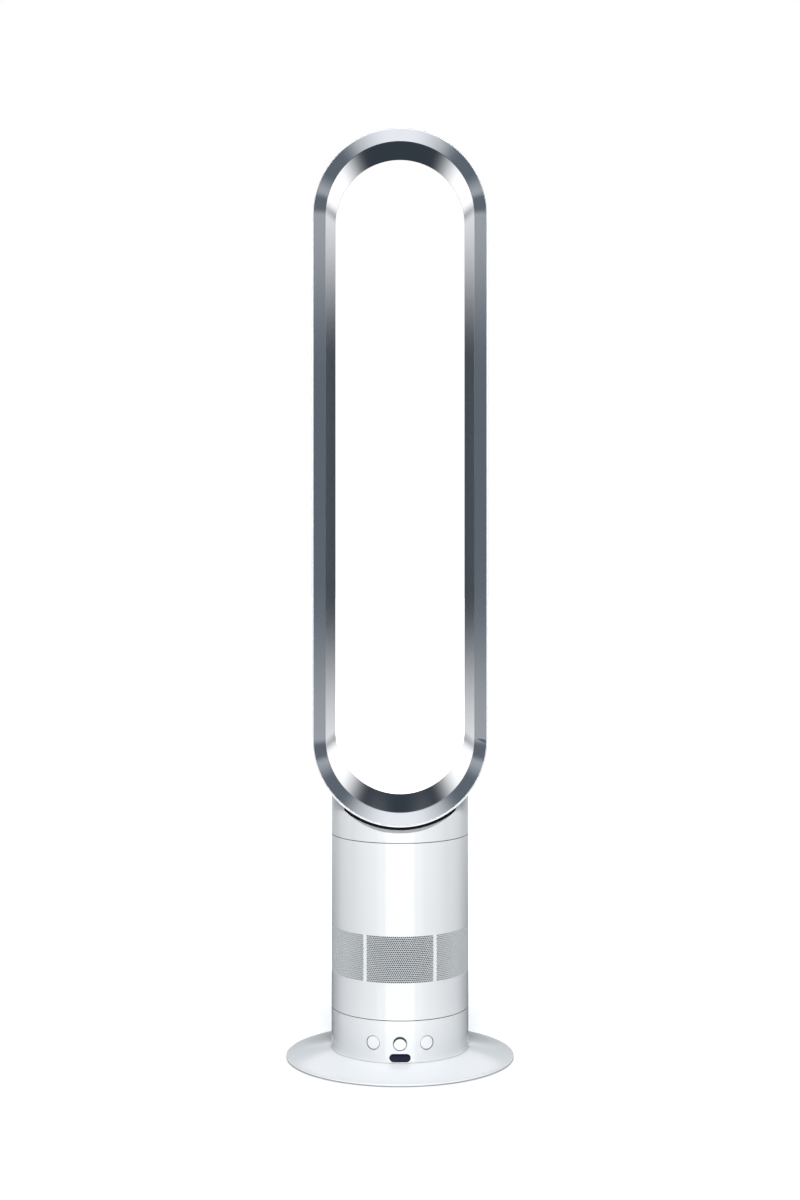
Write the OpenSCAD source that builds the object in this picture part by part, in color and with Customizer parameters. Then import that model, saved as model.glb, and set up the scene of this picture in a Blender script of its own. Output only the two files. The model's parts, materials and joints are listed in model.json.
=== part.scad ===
// Bladeless tower fan: a drum-shaped body that draws air in through a perforated band,
// and a tall hollow loop that blows it forward out of a narrow slot round its inside.
// Millimetres. Z is up, the front faces -Y, and the origin is under the middle of the base.

/* [Base plate] */
// Radius of the round base plate
plate_r = 124; // [118:1:132]
// Height of the plate's outer edge
plate_edge_h = 3; // [2.8:0.1:4]
// Height of the plate's raised middle
plate_hub_h = 12; // [11.5:0.25:14]
// Wall of the plate's moulding
plate_wall = 2.4; // [2:0.1:2.8]
// How far the rubber ring stands out below the plate
foot_stand = 0.8; // [0.6:0.1:1.2]

/* [Body] */
// Outer radius of the drum-shaped body
body_r = 74.6; // [73:0.2:77]
// Wall of the body's casings
body_wall = 2.4; // [2:0.1:2.8]
// Height of the lower casing, which holds the controls
lower_h = 43.8; // [42:0.2:50]
// Height of the main casing, which holds the air inlet and the motor
main_h = 187; // [165:1:200]
// Height of the shadow gap at each seam of the body
seam_gap = 0.8; // [0.5:0.1:1.2]
// Height of the collar at the lowest point of its saddle
collar_h = 9.7; // [8.5:0.1:14]

/* [Air inlet] */
// How far the top of the perforated band lies below the top of the main casing
grille_drop = 98.2; // [96:0.2:104]
// Height of the perforated band
grille_h = 49.5; // [46:0.5:51]
// Thickness of the perforated sleeve
grille_wall = 1.2; // [1:0.1:1.4]
// Number of perforated panels round the body
grille_panels = 6; // [4:1:8]
// Holes in one row of a panel
grille_cols = 10; // [6:1:11]
// Rows of holes in a panel
grille_rows = 7; // [4:1:8]
// Diameter of each hole
grille_hole_d = 4; // [3:0.1:4.4]

/* [Loop] */
// Outer radius of the loop's round ends
loop_r = 94.5; // [92:0.5:97]
// Length of the loop's straight sides
loop_straight = 560; // [400:10:700]
// Depth of the loop from its front edge to its round back
loop_depth = 110; // [104:1:116]
// How far the loop's front edge lies ahead of the body's axis
loop_front = 52; // [50:0.5:54]
// Wall of the loop's outer casing
loop_wall = 2.4; // [2:0.1:2.8]
// Wall of the loop's inner casing
inner_wall = 2.2; // [1.8:0.1:2.6]
// Half width of the loop's opening at its narrow throat
throat_r = 71.3; // [70:0.1:72.5]
// Half width of the opening at the ridge behind the front bevel
ridge_r = 79.7; // [79:0.1:82]
// Width of the air outlet slot
slot_w = 1.3; // [1:0.1:1.6]
// Height of the shadow slot between the loop and the collar below it
loop_gap = 3; // [2:0.1:4]

/* [Controls] */
// Radius of each button
button_r = 7; // [6:0.1:7.4]
// Angle between neighbouring buttons
button_step = 22.5; // [21:0.5:26]
// Height of the buttons above the foot of the lower casing
button_up = 20; // [18:0.1:24]
// How far a button moves when pressed
button_travel = 1.2; // [0.8:0.1:1.4]
// Width of the dark window
window_w = 22.7; // [18:0.1:26]
// Height of the dark window
window_h = 8.7; // [7:0.1:9]

/* [Swivel] */
// Radius of the hollow spindle that the body turns on
spindle_r = 15; // [14:0.1:16]
// Radius of the spindle's bore
spindle_bore_r = 10.5; // [9:0.1:11]
// Size of the gear teeth: pitch diameter over number of teeth
gear_module = 1; // [0.9:0.02:1.04]
// Teeth of the fixed gear
gear_teeth = 60; // [56:2:62]
// Teeth of the motor's pinion
pinion_teeth = 15; // [13:1:17]

/* [Fan] */
// Number of impeller blades
blades = 9; // [5:1:11]
// Number of guide vanes round the motor
vanes = 11; // [7:1:13]
// Radius of the impeller's hub at its wide end
hub_r = 31; // [28:0.5:34]
// Width of the space between the body's wall and the duct round the motor
duct_space = 16.2; // [14.4:0.2:18.2]
// Outer radius of the neck between body and loop
neck_r = 40; // [36:0.5:42]

/* [Hidden] */
$fn = 96;

// Clearances, and the overrun that every cut has
fit = 0.2;
shaft_fit = 0.05;
run_gap = 0.4;
stop_gap = 0.3;
tip_gap = 0.6;
cut = 1;

// Screws: radii of shank and head, and the head's height
screw_r = 1.5;
screw_head_r = 2.8;
screw_head_h = 1.6;
small_screw_r = 1;
small_head_r = 1.9;
small_head_h = 1.2;
socket_share = 0.55;
socket_depth_share = 0.6;

// Base plate
edge_round = 0.7;
plate_slope_power = 1.3;
plate_steps = 14;
cover_t = 1.2;
cover_z = foot_stand;
cover_top = cover_z + cover_t;
hub_margin = 2.2;
plate_hub_r = body_r + hub_margin;
well_inset = 7;
well_r = body_r - well_inset;
well_depth = 5;
well_z = plate_hub_h - well_depth;
well_under_z = well_z - plate_wall;
hub_wall_r = well_r - plate_wall;
ballast_in_r = well_r + plate_wall;
ballast_inset = 18;
ballast_out_r = plate_r - ballast_inset;
cover_inset = 16;
cover_r = plate_r - cover_inset;
foot_w = 6;
foot_inset = 5.5;
foot_out_r = plate_r - foot_inset;
foot_groove = 0.8;
gear_boss_r = 30;
plate_ribs = 12;
rib_t = 1.6;
cover_screw_count = 6;
cover_screw_ring_r = (hub_wall_r + ballast_in_r) / 2;
cover_screw_depth = 7;
grommet_share = 0.32;
grommet_ring_r = plate_hub_r + grommet_share * (plate_r - plate_hub_r);
grommet_r = 4.9;
grommet_flange_r = 6.6;
grommet_flange_h = 1.4;
grommet_bore_r = 3.3;
cord_way_w = 8;
plate_slope_r = plate_r - edge_round;

// Height of the plate's top surface at a given radius
function plate_top(r) = plate_edge_h + (plate_hub_h - plate_edge_h)
    * pow((plate_slope_r - r) / (plate_slope_r - plate_hub_r), plate_slope_power);
function plate_roof(r) = plate_top(r) - plate_wall;

// Body heights
lower_z = plate_hub_h + run_gap;
lower_top = lower_z + lower_h;
main_z = lower_top + seam_gap;
main_top = main_z + main_h;
collar_z = main_top + seam_gap;
body_in_r = body_r - body_wall;
seam_r = body_r - body_wall / 2;
flare_w = 1.6;
flare_h = 5;
flare_steps = 6;

// Chassis in the lower casing
chassis_r = body_in_r - fit;
chassis_t = 3;
chassis_up = 1.6;
chassis_z = lower_z + chassis_up;
chassis_top = chassis_z + chassis_t;
ledge_w = 3;
ledge_t = 2;
boss_r = 4;
boss_lap = 0.5;
boss_gap = 1;
hub_h = 13.3;
spindle_top = chassis_top + hub_h;
bush_t = 2.4;
bush_in_r = spindle_r + shaft_fit;
bush_out_r = bush_in_r + bush_t;
bush_foot = 1.5;
bush_z = chassis_z - bush_foot;
hub_wall = 3.5;
hub_out_r = bush_out_r + hub_wall;
spindle_washer_t = 2;
spindle_washer_lap = 2;
spindle_washer_r = hub_out_r + spindle_washer_lap;
washer_screw_ring_r = (spindle_r + spindle_bore_r) / 2;
washer_screw_depth = 6;
washer_screw_count = 3;
chassis_screw_count = 4;
ledge_gap = 0.4;
chassis_screw_ring_r = body_in_r - ledge_w - ledge_gap - screw_r;
chassis_screw_grip = 6;
chassis_screw_depth = chassis_t + chassis_screw_grip;

// Swivel gears and motor
pressure_angle = 20;
tip_share = 0.9;
root_share = 1.25;
flank_steps = 4;
backlash = 0.12;
gear_pitch_r = gear_module * gear_teeth / 2;
pinion_pitch_r = gear_module * pinion_teeth / 2;
gear_centres = gear_pitch_r + pinion_pitch_r + shaft_fit;
gear_t = 5.5;
gear_in_r = 22.5;
gear_screw_ring_r = (gear_in_r + gear_pitch_r - root_share * gear_module) / 2;
gear_screw_count = 4;
gear_screw_depth = 4;
pinion_up = 0.6;
pinion_z = well_z + pinion_up;
pinion_t = 5;
pinion_shaft_r = 2.5;
pinion_shaft_h = 24;
pinion_space = 0.8;
pinion_hole_r = pinion_pitch_r + gear_module + pinion_space;
stepper_r = 12;
stepper_h = 19;
stepper_offset = 7;
stepper_ear_r = 3.5;
stepper_ear_t = 1.2;
stepper_ear_reach = stepper_r + stepper_ear_r;
stepper_round = 1.5;

// Ring of the chassis that slides on the thrust washer, outside the reach of the pinion
thrust_space = 2;
thrust_in_r = gear_centres + pinion_pitch_r + gear_module + thrust_space;
thrust_w = 3;
thrust_washer_t = 2;
thrust_lap = 1.5;

// Boards and their parts
board_w = 68;
board_d = 26;
board_t = 1.6;
board_gap = 1;
board_y = sqrt(pow(body_in_r - board_gap, 2) - pow(board_w / 2, 2)) - board_d;
board_up = 7;
board_z = chassis_top + board_up;
standoff_r = 3;
standoff_inset = 4;
board_screw_depth = 5;
// Each part on the board: its place and size as shares of the board, and its height as a share
part_height = 16;
part_shares = [[0.16, 0.12, 0.26, 0.6, 1], [0.46, 0.2, 0.12, 0.34, 0.3], [0.46, 0.62, 0.16, 0.22, 0.5],
               [0.8, 0.4, 0.08, 0.3, 0.6]];
capacitor_shares = [[0.68, 0.34, 0.09], [0.69, 0.76, 0.07]];

// Buttons, switches and window
button_z = lower_z + button_up;
button_gap = 0.4;
button_hole_r = button_r + button_gap;
button_lap = 1.4;
button_flange_r = button_r + button_lap;
guide_in_r = button_flange_r + button_gap;
guide_wall = 1.4;
button_flange_t = 1.5;
button_round = 0.7;
button_dish_r = 26;
button_dish_depth = 1.1;
wall_behind_button = sqrt(pow(body_in_r, 2) - pow(button_flange_r, 2));
button_flange_front = wall_behind_button - stop_gap;
button_flange_back = button_flange_front - button_flange_t;
guide_over = 1;
guide_back = button_flange_back - button_travel - guide_over;
carrier_inset = 12.5;
carrier_r = body_in_r - carrier_inset;
carrier_t = 2.4;
carrier_angle = 70;
carrier_h = 27;
flex_t = 0.8;
flex_h = 18;
flex_angle = 64;
switch_w = 6;
switch_t = 3.6;
switch_back = carrier_r + fit + flex_t;
switch_front = switch_back + switch_t;
plunger_r = 1.7;
plunger_foot = 0.6;
plunger_in = switch_back + button_travel + plunger_foot;
plunger_show = 0.3;
plunger_out = switch_front + button_travel + plunger_show;
stem_r = 2.4;
window_up = 5;
window_z = lower_z + window_up;
window_lap = 0.15;
receiver_w = 5;
receiver_t = 4;
receiver_h = 4.4;

// Main casing and grille
grille_z = main_top - grille_drop - grille_h;
grille_back_r = body_r - grille_wall;
rebate_r = grille_back_r - fit;
band_t = 2;
band_in_r = body_in_r - band_t;
band_over = 4;
sill = 2.2;
pillar_angle = 7;
main_floor_t = 2.5;
main_floor_hole_r = 9;
foot_ring_h = seam_gap;
body_screw_count = 4;
body_screw_ring_r = body_in_r - boss_r - boss_gap;
body_ledge_w = 8;
body_ledge_t = 2.5;
body_screw_depth = 7.5;
top_ledge_w = 4.5;
top_ledge_t = 2.5;
plain_angle = 2.4;
foam_h = 10;
mesh_t = 1.2;

// Fan housing, from its shelf up
shelf_z = grille_z + grille_h + band_over;
shelf_t = 2.8;
duct_r = body_in_r - duct_space;
shelf_space = 5;
shelf_in_r = duct_r + shelf_space;
seal_t = 1;
housing_z = shelf_z + shelf_t + seal_t;
housing_flange_t = 2.5;
housing_space = 3;
housing_flange_r = body_in_r - housing_space;
housing_wall = 2;
housing_screw_count = 4;
housing_screw_ring_r = (shelf_in_r + housing_flange_r) / 2;
screw_short = 0.5;
housing_screw_depth = housing_flange_t + seal_t + shelf_t - screw_short;
throat_in_r = 38;
bell_r = 46;
bell_drop = 5;
impeller_up = 2;
impeller_z = housing_z + impeller_up;
impeller_h = 28;
impeller_top = impeller_z + impeller_h;
duct_step = 2;
cup_gap = 3;
cup_z = impeller_top + cup_gap;
cup_lap = 1.5;
cup_r = hub_r + cup_lap;
cup_wall = 2;
cup_h = 17;
diffuser_z = cup_z + cup_h;
vane_h = 19;
dome_h = 11;
diffuser_cup_h = 17;
neck_wall = 2.4;
neck_in_r = neck_r - neck_wall;
neck_seal_h = 4.5;
housing_top = main_top - neck_seal_h;
duct_taper_h = 14;
top_flange_t = 2;
top_flange_lap = 5;
top_flange_r = neck_r + top_flange_lap;
cup_screw_count = 3;
cup_boss_lap = 0.8;
cup_screw_ring_r = cup_r - cup_wall - small_head_r + cup_boss_lap;
dome_angle = 80;
dome_steps = 7;

// Motor
motor_shaft_r = 2.5;
stator_r = 25;
stator_in_r = 14;
stator_h = 17;
stator_up = 8;
stator_z = cup_z + stator_up;
stator_teeth = 6;
coil_w = 7;
coil_h_share = 0.86;
rotor_gap = 0.6;
bearing_r = 7;
bearing_h = 4;
mount_count = 3;
mount_angle = 50;
hub_nose_r = 9;
hub_steps = 8;
shaft_foot = 3;
blade_t = 1.8;
blade_turn = [0, 62];
blade_power = 0.8;
vane_t = 1.6;
vane_turn = [24, 0];
vane_power = 0.6;

// Radii of the impeller's hub and of its blades' tips at a share of its height
function hub_radius(s) = hub_r - (hub_r - hub_nose_r) * sqrt(1 - s * s);
function blade_tip_radius(s) = throat_in_r + (duct_r - duct_step - throat_in_r) * s - tip_gap;

// Neck and loop
neck_flange_t = 2.5;
neck_flange_r = body_in_r - fit;
neck_shoulder = 3;
neck_shoulder_r = neck_r + neck_shoulder;
neck_stand = 3;
neck_screw_count = 4;
neck_screw_gap = 3.4;
neck_screw_ring_r = body_in_r - top_ledge_w - neck_screw_gap;
neck_screw_grip = 4;
neck_screw_depth = neck_flange_t + top_ledge_t + neck_screw_grip;
loop_low_z = collar_z + collar_h + loop_gap + loop_r;
loop_back = loop_depth - loop_front;
rim_w = 1.5;
rim_r = loop_r - rim_w;
rim_step = 0.8;
rim_front = loop_front - rim_step;
rim_round = 0.8;
seat_depth = 3.5;
seat_y = loop_front - seat_depth;
bevel_depth = 7;
ridge_y = loop_front - bevel_depth;
ridge_round_share = 0.04;
lip_t = 1.2;
nose_depth = 28;
nose_half = (loop_r - throat_r) / 2;
nose_mid_r = loop_r - nose_half;
nose_y = loop_back - nose_depth;
nose_steps = 16;
slot_lap = 4;
slot_r = throat_r + lip_t + slot_w;
curl_r = 5;
curl_steps = 5;
wall_steps = 10;
wall_power = 1.2;
seal_w = 1.2;
spacer_count = 10;
spacer_t = 1.2;
saddle_r = loop_r + loop_gap;
saddle_fit = 0.5;
shadow_slot_share = 0.8;
pad_t = 2.4;
pad_back = 0.4;

// Points of an arc or part ellipse about a centre
function arc(c, rx, ry, a0, a1, n) = [
    for (i = [0 : n]) let (a = a0 + (a1 - a0) * i / n) c + [rx * cos(a), ry * sin(a)]
];
// Unit vector to the left of the way from a to b
function left_of(a, b) = let (d = b - a) [-d[1], d[0]] / norm(d);
// A path moved to its left by t, with mitred corners
function beside(p, t) = [
    for (i = [0 : len(p) - 1])
        let (a = left_of(p[max(i - 1, 0)], p[max(i, 1)]),
             b = left_of(p[min(i, len(p) - 2)], p[min(i + 1, len(p) - 1)]))
            p[i] + t * (a + b) / (1 + a * b)
];
function flipped(p) = [for (i = [len(p) - 1 : -1 : 0]) p[i]];
function tail(p) = [for (i = [1 : len(p) - 1]) p[i]];
// The closed outline of a wall of thickness t to the left of a path
function wall_of(p, t) = concat(p, flipped(beside(p, t)));
// The point between a and b that has the given second coordinate
function at_height(a, b, y) = a + (b - a) * (y - a[1]) / (b[1] - a[1]);

// Half angle of a gear tooth at radius r, on an involute flank
function involute(a) = tan(a) * 180 / PI - a;
function half_tooth(teeth, r) =
    let (rp = gear_module * teeth / 2, rb = rp * cos(pressure_angle))
        90 / teeth - backlash / rp * 45 / PI + involute(pressure_angle)
        - involute(r > rb ? acos(rb / r) : 0);
function gear_points(teeth) =
    let (rp = gear_module * teeth / 2, ra = rp + tip_share * gear_module,
         rf = rp - root_share * gear_module)
        [for (k = [0 : teeth - 1], side = [-1, 1], i = [0 : flank_steps])
            let (s = side < 0 ? i / flank_steps : 1 - i / flank_steps,
                 r = rf + (ra - rf) * s, a = k * 360 / teeth + side * half_tooth(teeth, r))
                r * [cos(a), sin(a)]];

module ring(r_out, r_in, h) {
    difference() {
        cylinder(h = h, r = r_out);
        translate([0, 0, -cut]) cylinder(h = h + 2 * cut, r = r_in);
    }
}
module around(n, r, phase = 0) {
    for (i = [0 : n - 1]) rotate([0, 0, phase + i * 360 / n]) translate([r, 0, 0]) children();
}
// A screw with its head up, the underside of the head at zero
module screw(r, depth, head_r, head_h) {
    difference() {
        union() {
            cylinder(h = head_h, r = head_r);
            translate([0, 0, -depth]) cylinder(h = depth + head_h / 2, r = r);
        }
        translate([0, 0, head_h * (1 - socket_depth_share)])
            cylinder(h = head_h, r = head_r * socket_share, $fn = 6);
    }
}
module big_screw(depth) screw(screw_r, depth, screw_head_r, screw_head_h);
module small_screw(depth) screw(small_screw_r, depth, small_head_r, small_head_h);
// A child shape turned to point outward along the radius at the given angle from the front
module facing(angle, r, z) {
    rotate([0, 0, angle]) translate([0, -r, z]) rotate([90, 0, 0]) children();
}
// A profile of radius and depth swept round the loop's two ends and two sides
module loop_sweep() {
    for (side = [0, 1]) mirror([side, 0, 0])
        translate([0, 0, loop_low_z]) linear_extrude(height = loop_straight) children();
    for (up = [0, 1]) translate([0, 0, loop_low_z + up * loop_straight]) mirror([0, 0, up])
        rotate([-90, 0, 0]) rotate_extrude(angle = 180) children();
}
// A cylinder along Y about the loop's lower centre
module loop_bore(r) {
    translate([0, -loop_depth, loop_low_z]) rotate([-90, 0, 0]) cylinder(h = 2 * loop_depth, r = r);
}

// Curved blades between an inner and an outer radius that change with height
function blade_index(side, i, j, n, m) = (side * (n + 1) + i) * (m + 1) + j;
function quad(a, b, c, d) = [[a, c, b], [a, d, c]];
function blade_faces(n, m) = concat(
    [for (i = [0 : n - 1], j = [0 : m - 1]) each concat(
        quad(blade_index(0, i, j, n, m), blade_index(0, i, j + 1, n, m),
             blade_index(0, i + 1, j + 1, n, m), blade_index(0, i + 1, j, n, m)),
        quad(blade_index(1, i, j, n, m), blade_index(1, i + 1, j, n, m),
             blade_index(1, i + 1, j + 1, n, m), blade_index(1, i, j + 1, n, m)))],
    [for (i = [0 : n - 1]) each concat(
        quad(blade_index(0, i, 0, n, m), blade_index(0, i + 1, 0, n, m),
             blade_index(1, i + 1, 0, n, m), blade_index(1, i, 0, n, m)),
        quad(blade_index(0, i, m, n, m), blade_index(1, i, m, n, m),
             blade_index(1, i + 1, m, n, m), blade_index(0, i + 1, m, n, m)))],
    [for (j = [0 : m - 1]) each concat(
        quad(blade_index(0, 0, j, n, m), blade_index(1, 0, j, n, m),
             blade_index(1, 0, j + 1, n, m), blade_index(0, 0, j + 1, n, m)),
        quad(blade_index(0, n, j, n, m), blade_index(0, n, j + 1, n, m),
             blade_index(1, n, j + 1, n, m), blade_index(1, n, j, n, m)))]);
// inner and outer give the radius at a share of the height, angles the blade's turn at its foot
// and its head, and power how fast it straightens
module blade(z0, z1, inner, outer, angles, power, t, n = 8, m = 2) {
    pts = [for (side = [0, 1], i = [0 : n], j = [0 : m])
        let (s = i / n, r = inner(s) + (outer(s) - inner(s)) * j / m,
             turn = angles[0] + (angles[1] - angles[0]) * pow(s, power),
             a = turn + (side - 0.5) * t / r * 180 / PI)
            [r * cos(a), r * sin(a), z0 + (z1 - z0) * s]];
    polyhedron(points = pts, faces = blade_faces(n, m));
}

// Base
plate_outline = concat(
    [[plate_slope_r, cover_z], [plate_r, cover_z + edge_round],
     [plate_r, plate_edge_h - edge_round]],
    [for (i = [0 : plate_steps]) let (r = plate_slope_r - i / plate_steps * (plate_slope_r - plate_hub_r))
        [r, plate_top(r)]],
    [[well_r, plate_hub_h], [well_r, well_z], [spindle_r, well_z], [spindle_r, spindle_top],
     [spindle_bore_r, spindle_top], [spindle_bore_r, cover_top], [gear_boss_r, cover_top],
     [gear_boss_r, well_under_z], [hub_wall_r, well_under_z], [hub_wall_r, cover_top],
     [ballast_in_r, cover_top]],
    [for (i = [0 : plate_steps]) let (r = ballast_in_r + fit + i / plate_steps
        * (ballast_out_r - ballast_in_r)) [r, min(plate_roof(r), plate_roof(plate_hub_r))]],
    [[ballast_out_r + fit, cover_top], [cover_r, cover_top], [cover_r, cover_z]]);

module grommet_at(extra = 0) {
    translate([0, grommet_ring_r, cover_top]) cylinder(h = plate_hub_h, r = grommet_r + extra);
}

module base_plate() color("whitesmoke") {
    difference() {
        union() {
            rotate_extrude() polygon(plate_outline);
            for (i = [0 : plate_ribs - 1]) rotate([0, 0, (i + 0.5) * 360 / plate_ribs])
                translate([gear_boss_r - rib_t, -rib_t / 2, cover_top])
                    cube([hub_wall_r - gear_boss_r + 2 * rib_t, rib_t, well_z - cover_top - fit]);
        }
        translate([0, 0, cover_z - cut])
            ring(foot_out_r + fit, foot_out_r - foot_w - fit, foot_groove + cut);
        around(cover_screw_count, cover_screw_ring_r)
            translate([0, 0, cover_z]) cylinder(h = cover_screw_depth + cover_t, r = screw_r + shaft_fit);
        around(gear_screw_count, gear_screw_ring_r, 45)
            translate([0, 0, well_z - gear_screw_depth - fit])
                cylinder(h = gear_screw_depth + fit + cut, r = small_screw_r + shaft_fit);
        around(washer_screw_count, washer_screw_ring_r)
            translate([0, 0, spindle_top - washer_screw_depth])
                cylinder(h = washer_screw_depth + cut, r = small_screw_r + shaft_fit);
        grommet_at(fit);
        translate([-cord_way_w / 2, 0, cover_top - cut])
            cube([cord_way_w, grommet_ring_r, cut + rib_t]);
    }
}
module ballast_ring() color("dimgray") {
    difference() {
        rotate_extrude() polygon(concat(
            [[ballast_out_r - fit, cover_top], [ballast_in_r + 2 * fit, cover_top]],
            [for (i = [0 : plate_steps]) let (r = ballast_in_r + 2 * fit + i / plate_steps
                * (ballast_out_r - ballast_in_r - 3 * fit))
                [r, min(plate_roof(r), plate_roof(plate_hub_r)) - fit]]));
        translate([0, grommet_ring_r, cover_z]) cylinder(h = plate_hub_h, r = grommet_flange_r);
        translate([-cord_way_w / 2, 0, cover_z]) cube([cord_way_w, grommet_ring_r, plate_hub_h]);
    }
}
module bottom_cover() color("darkgray") {
    difference() {
        translate([0, 0, cover_z]) cylinder(h = cover_t, r = cover_r - fit);
        around(cover_screw_count, cover_screw_ring_r) translate([0, 0, cover_z - cut])
            cylinder(h = cover_t + 2 * cut, r = screw_head_r + fit);
    }
}
module foot_ring() color("dimgray") {
    ring(foot_out_r, foot_out_r - foot_w, foot_stand + foot_groove);
}
module cover_screws() color("silver") {
    around(cover_screw_count, cover_screw_ring_r) translate([0, 0, cover_top]) rotate([180, 0, 0])
        screw(screw_r, cover_screw_depth, screw_head_r, cover_t);
}
module fixed_gear() color("ivory") {
    translate([0, 0, well_z]) difference() {
        rotate([0, 0, 180]) linear_extrude(height = gear_t) polygon(gear_points(gear_teeth));
        translate([0, 0, -cut]) cylinder(h = gear_t + 2 * cut, r = gear_in_r);
        around(gear_screw_count, gear_screw_ring_r, 45) {
            translate([0, 0, -cut]) cylinder(h = gear_t + 2 * cut, r = small_screw_r + shaft_fit);
            translate([0, 0, gear_t - small_head_h]) cylinder(h = gear_t, r = small_head_r + fit);
        }
    }
}
module gear_screws() color("silver") {
    around(gear_screw_count, gear_screw_ring_r, 45)
        translate([0, 0, well_z + gear_t - small_head_h])
            small_screw(gear_screw_depth + gear_t - small_head_h);
}
module thrust_washer() color("ivory") {
    translate([0, 0, well_z])
        ring(thrust_in_r + thrust_w + thrust_lap, thrust_in_r - thrust_lap, thrust_washer_t);
}
module spindle_washer() color("silver") {
    translate([0, 0, spindle_top]) difference() {
        ring(spindle_washer_r, spindle_bore_r, spindle_washer_t);
        around(washer_screw_count, washer_screw_ring_r)
            translate([0, 0, -cut]) cylinder(h = spindle_washer_t + 2 * cut, r = small_screw_r + shaft_fit);
    }
}
module washer_screws() color("silver") {
    around(washer_screw_count, washer_screw_ring_r)
        translate([0, 0, spindle_top + spindle_washer_t])
            small_screw(washer_screw_depth + spindle_washer_t - fit);
}
module cord_grommet() color("gray") {
    lip_z = plate_top(grommet_ring_r - grommet_flange_r);
    translate([0, grommet_ring_r, 0]) difference() {
        union() {
            translate([0, 0, cover_top]) cylinder(h = lip_z - cover_top + cut, r = grommet_r);
            translate([0, 0, lip_z]) cylinder(h = grommet_flange_h, r = grommet_flange_r);
        }
        translate([0, 0, cover_z]) cylinder(h = 2 * plate_hub_h, r = grommet_bore_r);
    }
}

// Lower casing and what it carries
lower_outline = concat(
    [for (i = [0 : flare_steps]) let (a = 90 * i / flare_steps)
        [body_r + flare_w * (1 - sin(a)), lower_z + flare_h * (1 - cos(a))]],
    [[body_r, lower_top]]);
// The casing's wall, or the wall less a little of its outside
function lower_profile(less) = concat([for (p = lower_outline) p - [less, 0]],
    [[body_in_r, lower_top], [body_in_r, lower_z]]);

module window_prism(extra) {
    half = (window_w - window_h) / 2;
    for (side = [-1, 1]) translate([side * half, 0, window_z]) rotate([90, 0, 0])
        cylinder(h = 2 * body_r, r = window_h / 2 + extra);
    translate([-half, -2 * body_r, window_z - window_h / 2 - extra])
        cube([2 * half, 2 * body_r, window_h + 2 * extra]);
}
module lower_casing() color("white") {
    difference() {
        union() {
            rotate_extrude() polygon(lower_profile(0));
            translate([0, 0, chassis_top]) ring(seam_r, body_in_r - ledge_w, ledge_t);
            translate([0, 0, lower_top - body_ledge_t])
                ring(seam_r, body_in_r - body_ledge_w, body_ledge_t);
            around(chassis_screw_count, chassis_screw_ring_r, 45) {
                translate([0, 0, chassis_top]) cylinder(h = chassis_screw_depth, r = boss_r);
                translate([0, -boss_r, chassis_top])
                    cube([body_in_r + boss_lap - chassis_screw_ring_r, 2 * boss_r, chassis_screw_depth]);
            }
            intersection() {
                for (i = [-1 : 1]) facing(i * button_step, guide_back, button_z)
                    cylinder(h = body_r - guide_back, r = guide_in_r + guide_wall);
                translate([0, 0, lower_z]) cylinder(h = lower_h, r = seam_r);
            }
        }
        for (i = [-1 : 1]) {
            facing(i * button_step, 0, button_z) cylinder(h = 2 * body_r, r = button_hole_r);
            facing(i * button_step, 0, button_z)
                cylinder(h = wall_behind_button, r = guide_in_r);
        }
        window_prism(0);
        around(chassis_screw_count, chassis_screw_ring_r, 45) translate([0, 0, chassis_z])
            cylinder(h = chassis_screw_depth, r = screw_r + shaft_fit);
        around(body_screw_count, body_screw_ring_r) translate([0, 0, lower_top - body_ledge_t - cut])
            cylinder(h = body_ledge_t + 2 * cut, r = screw_r + fit);
    }
}
module chassis() color("lightgray") {
    difference() {
        union() {
            translate([0, 0, chassis_z]) cylinder(h = chassis_t, r = chassis_r);
            translate([0, 0, bush_z]) cylinder(h = spindle_top - stop_gap - bush_z, r = hub_out_r);
            translate([0, 0, well_z + thrust_washer_t + stop_gap])
                ring(thrust_in_r + thrust_w, thrust_in_r,
                     chassis_z - well_z - thrust_washer_t - stop_gap + chassis_t / 2);
            board_corners() translate([0, 0, chassis_top - cut])
                cylinder(h = board_up + cut, r = standoff_r);
        }
        translate([0, 0, lower_z - cut]) cylinder(h = spindle_top, r = bush_out_r);
        translate([-gear_centres, 0, lower_z]) cylinder(h = chassis_top, r = pinion_hole_r);
        around(chassis_screw_count, chassis_screw_ring_r, 45) translate([0, 0, lower_z])
            cylinder(h = chassis_top, r = screw_r + fit);
        board_corners() translate([0, 0, board_z - board_screw_depth])
            cylinder(h = board_screw_depth + cut, r = small_screw_r + shaft_fit);
        stepper_ears() translate([0, 0, chassis_z - cut])
            cylinder(h = chassis_top, r = small_screw_r + shaft_fit);
    }
}
module chassis_screws() color("silver") {
    around(chassis_screw_count, chassis_screw_ring_r, 45) translate([0, 0, chassis_z])
        rotate([180, 0, 0]) screw(screw_r, chassis_screw_depth - chassis_t, screw_head_r, screw_head_h);
}
module swivel_bush() color("goldenrod") {
    translate([0, 0, bush_z]) ring(bush_out_r, bush_in_r, spindle_top - stop_gap - bush_z);
}
module stepper_ears() {
    for (side = [-1, 1])
        translate([-gear_centres - stepper_offset, side * stepper_ear_reach, 0]) children();
}
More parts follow.
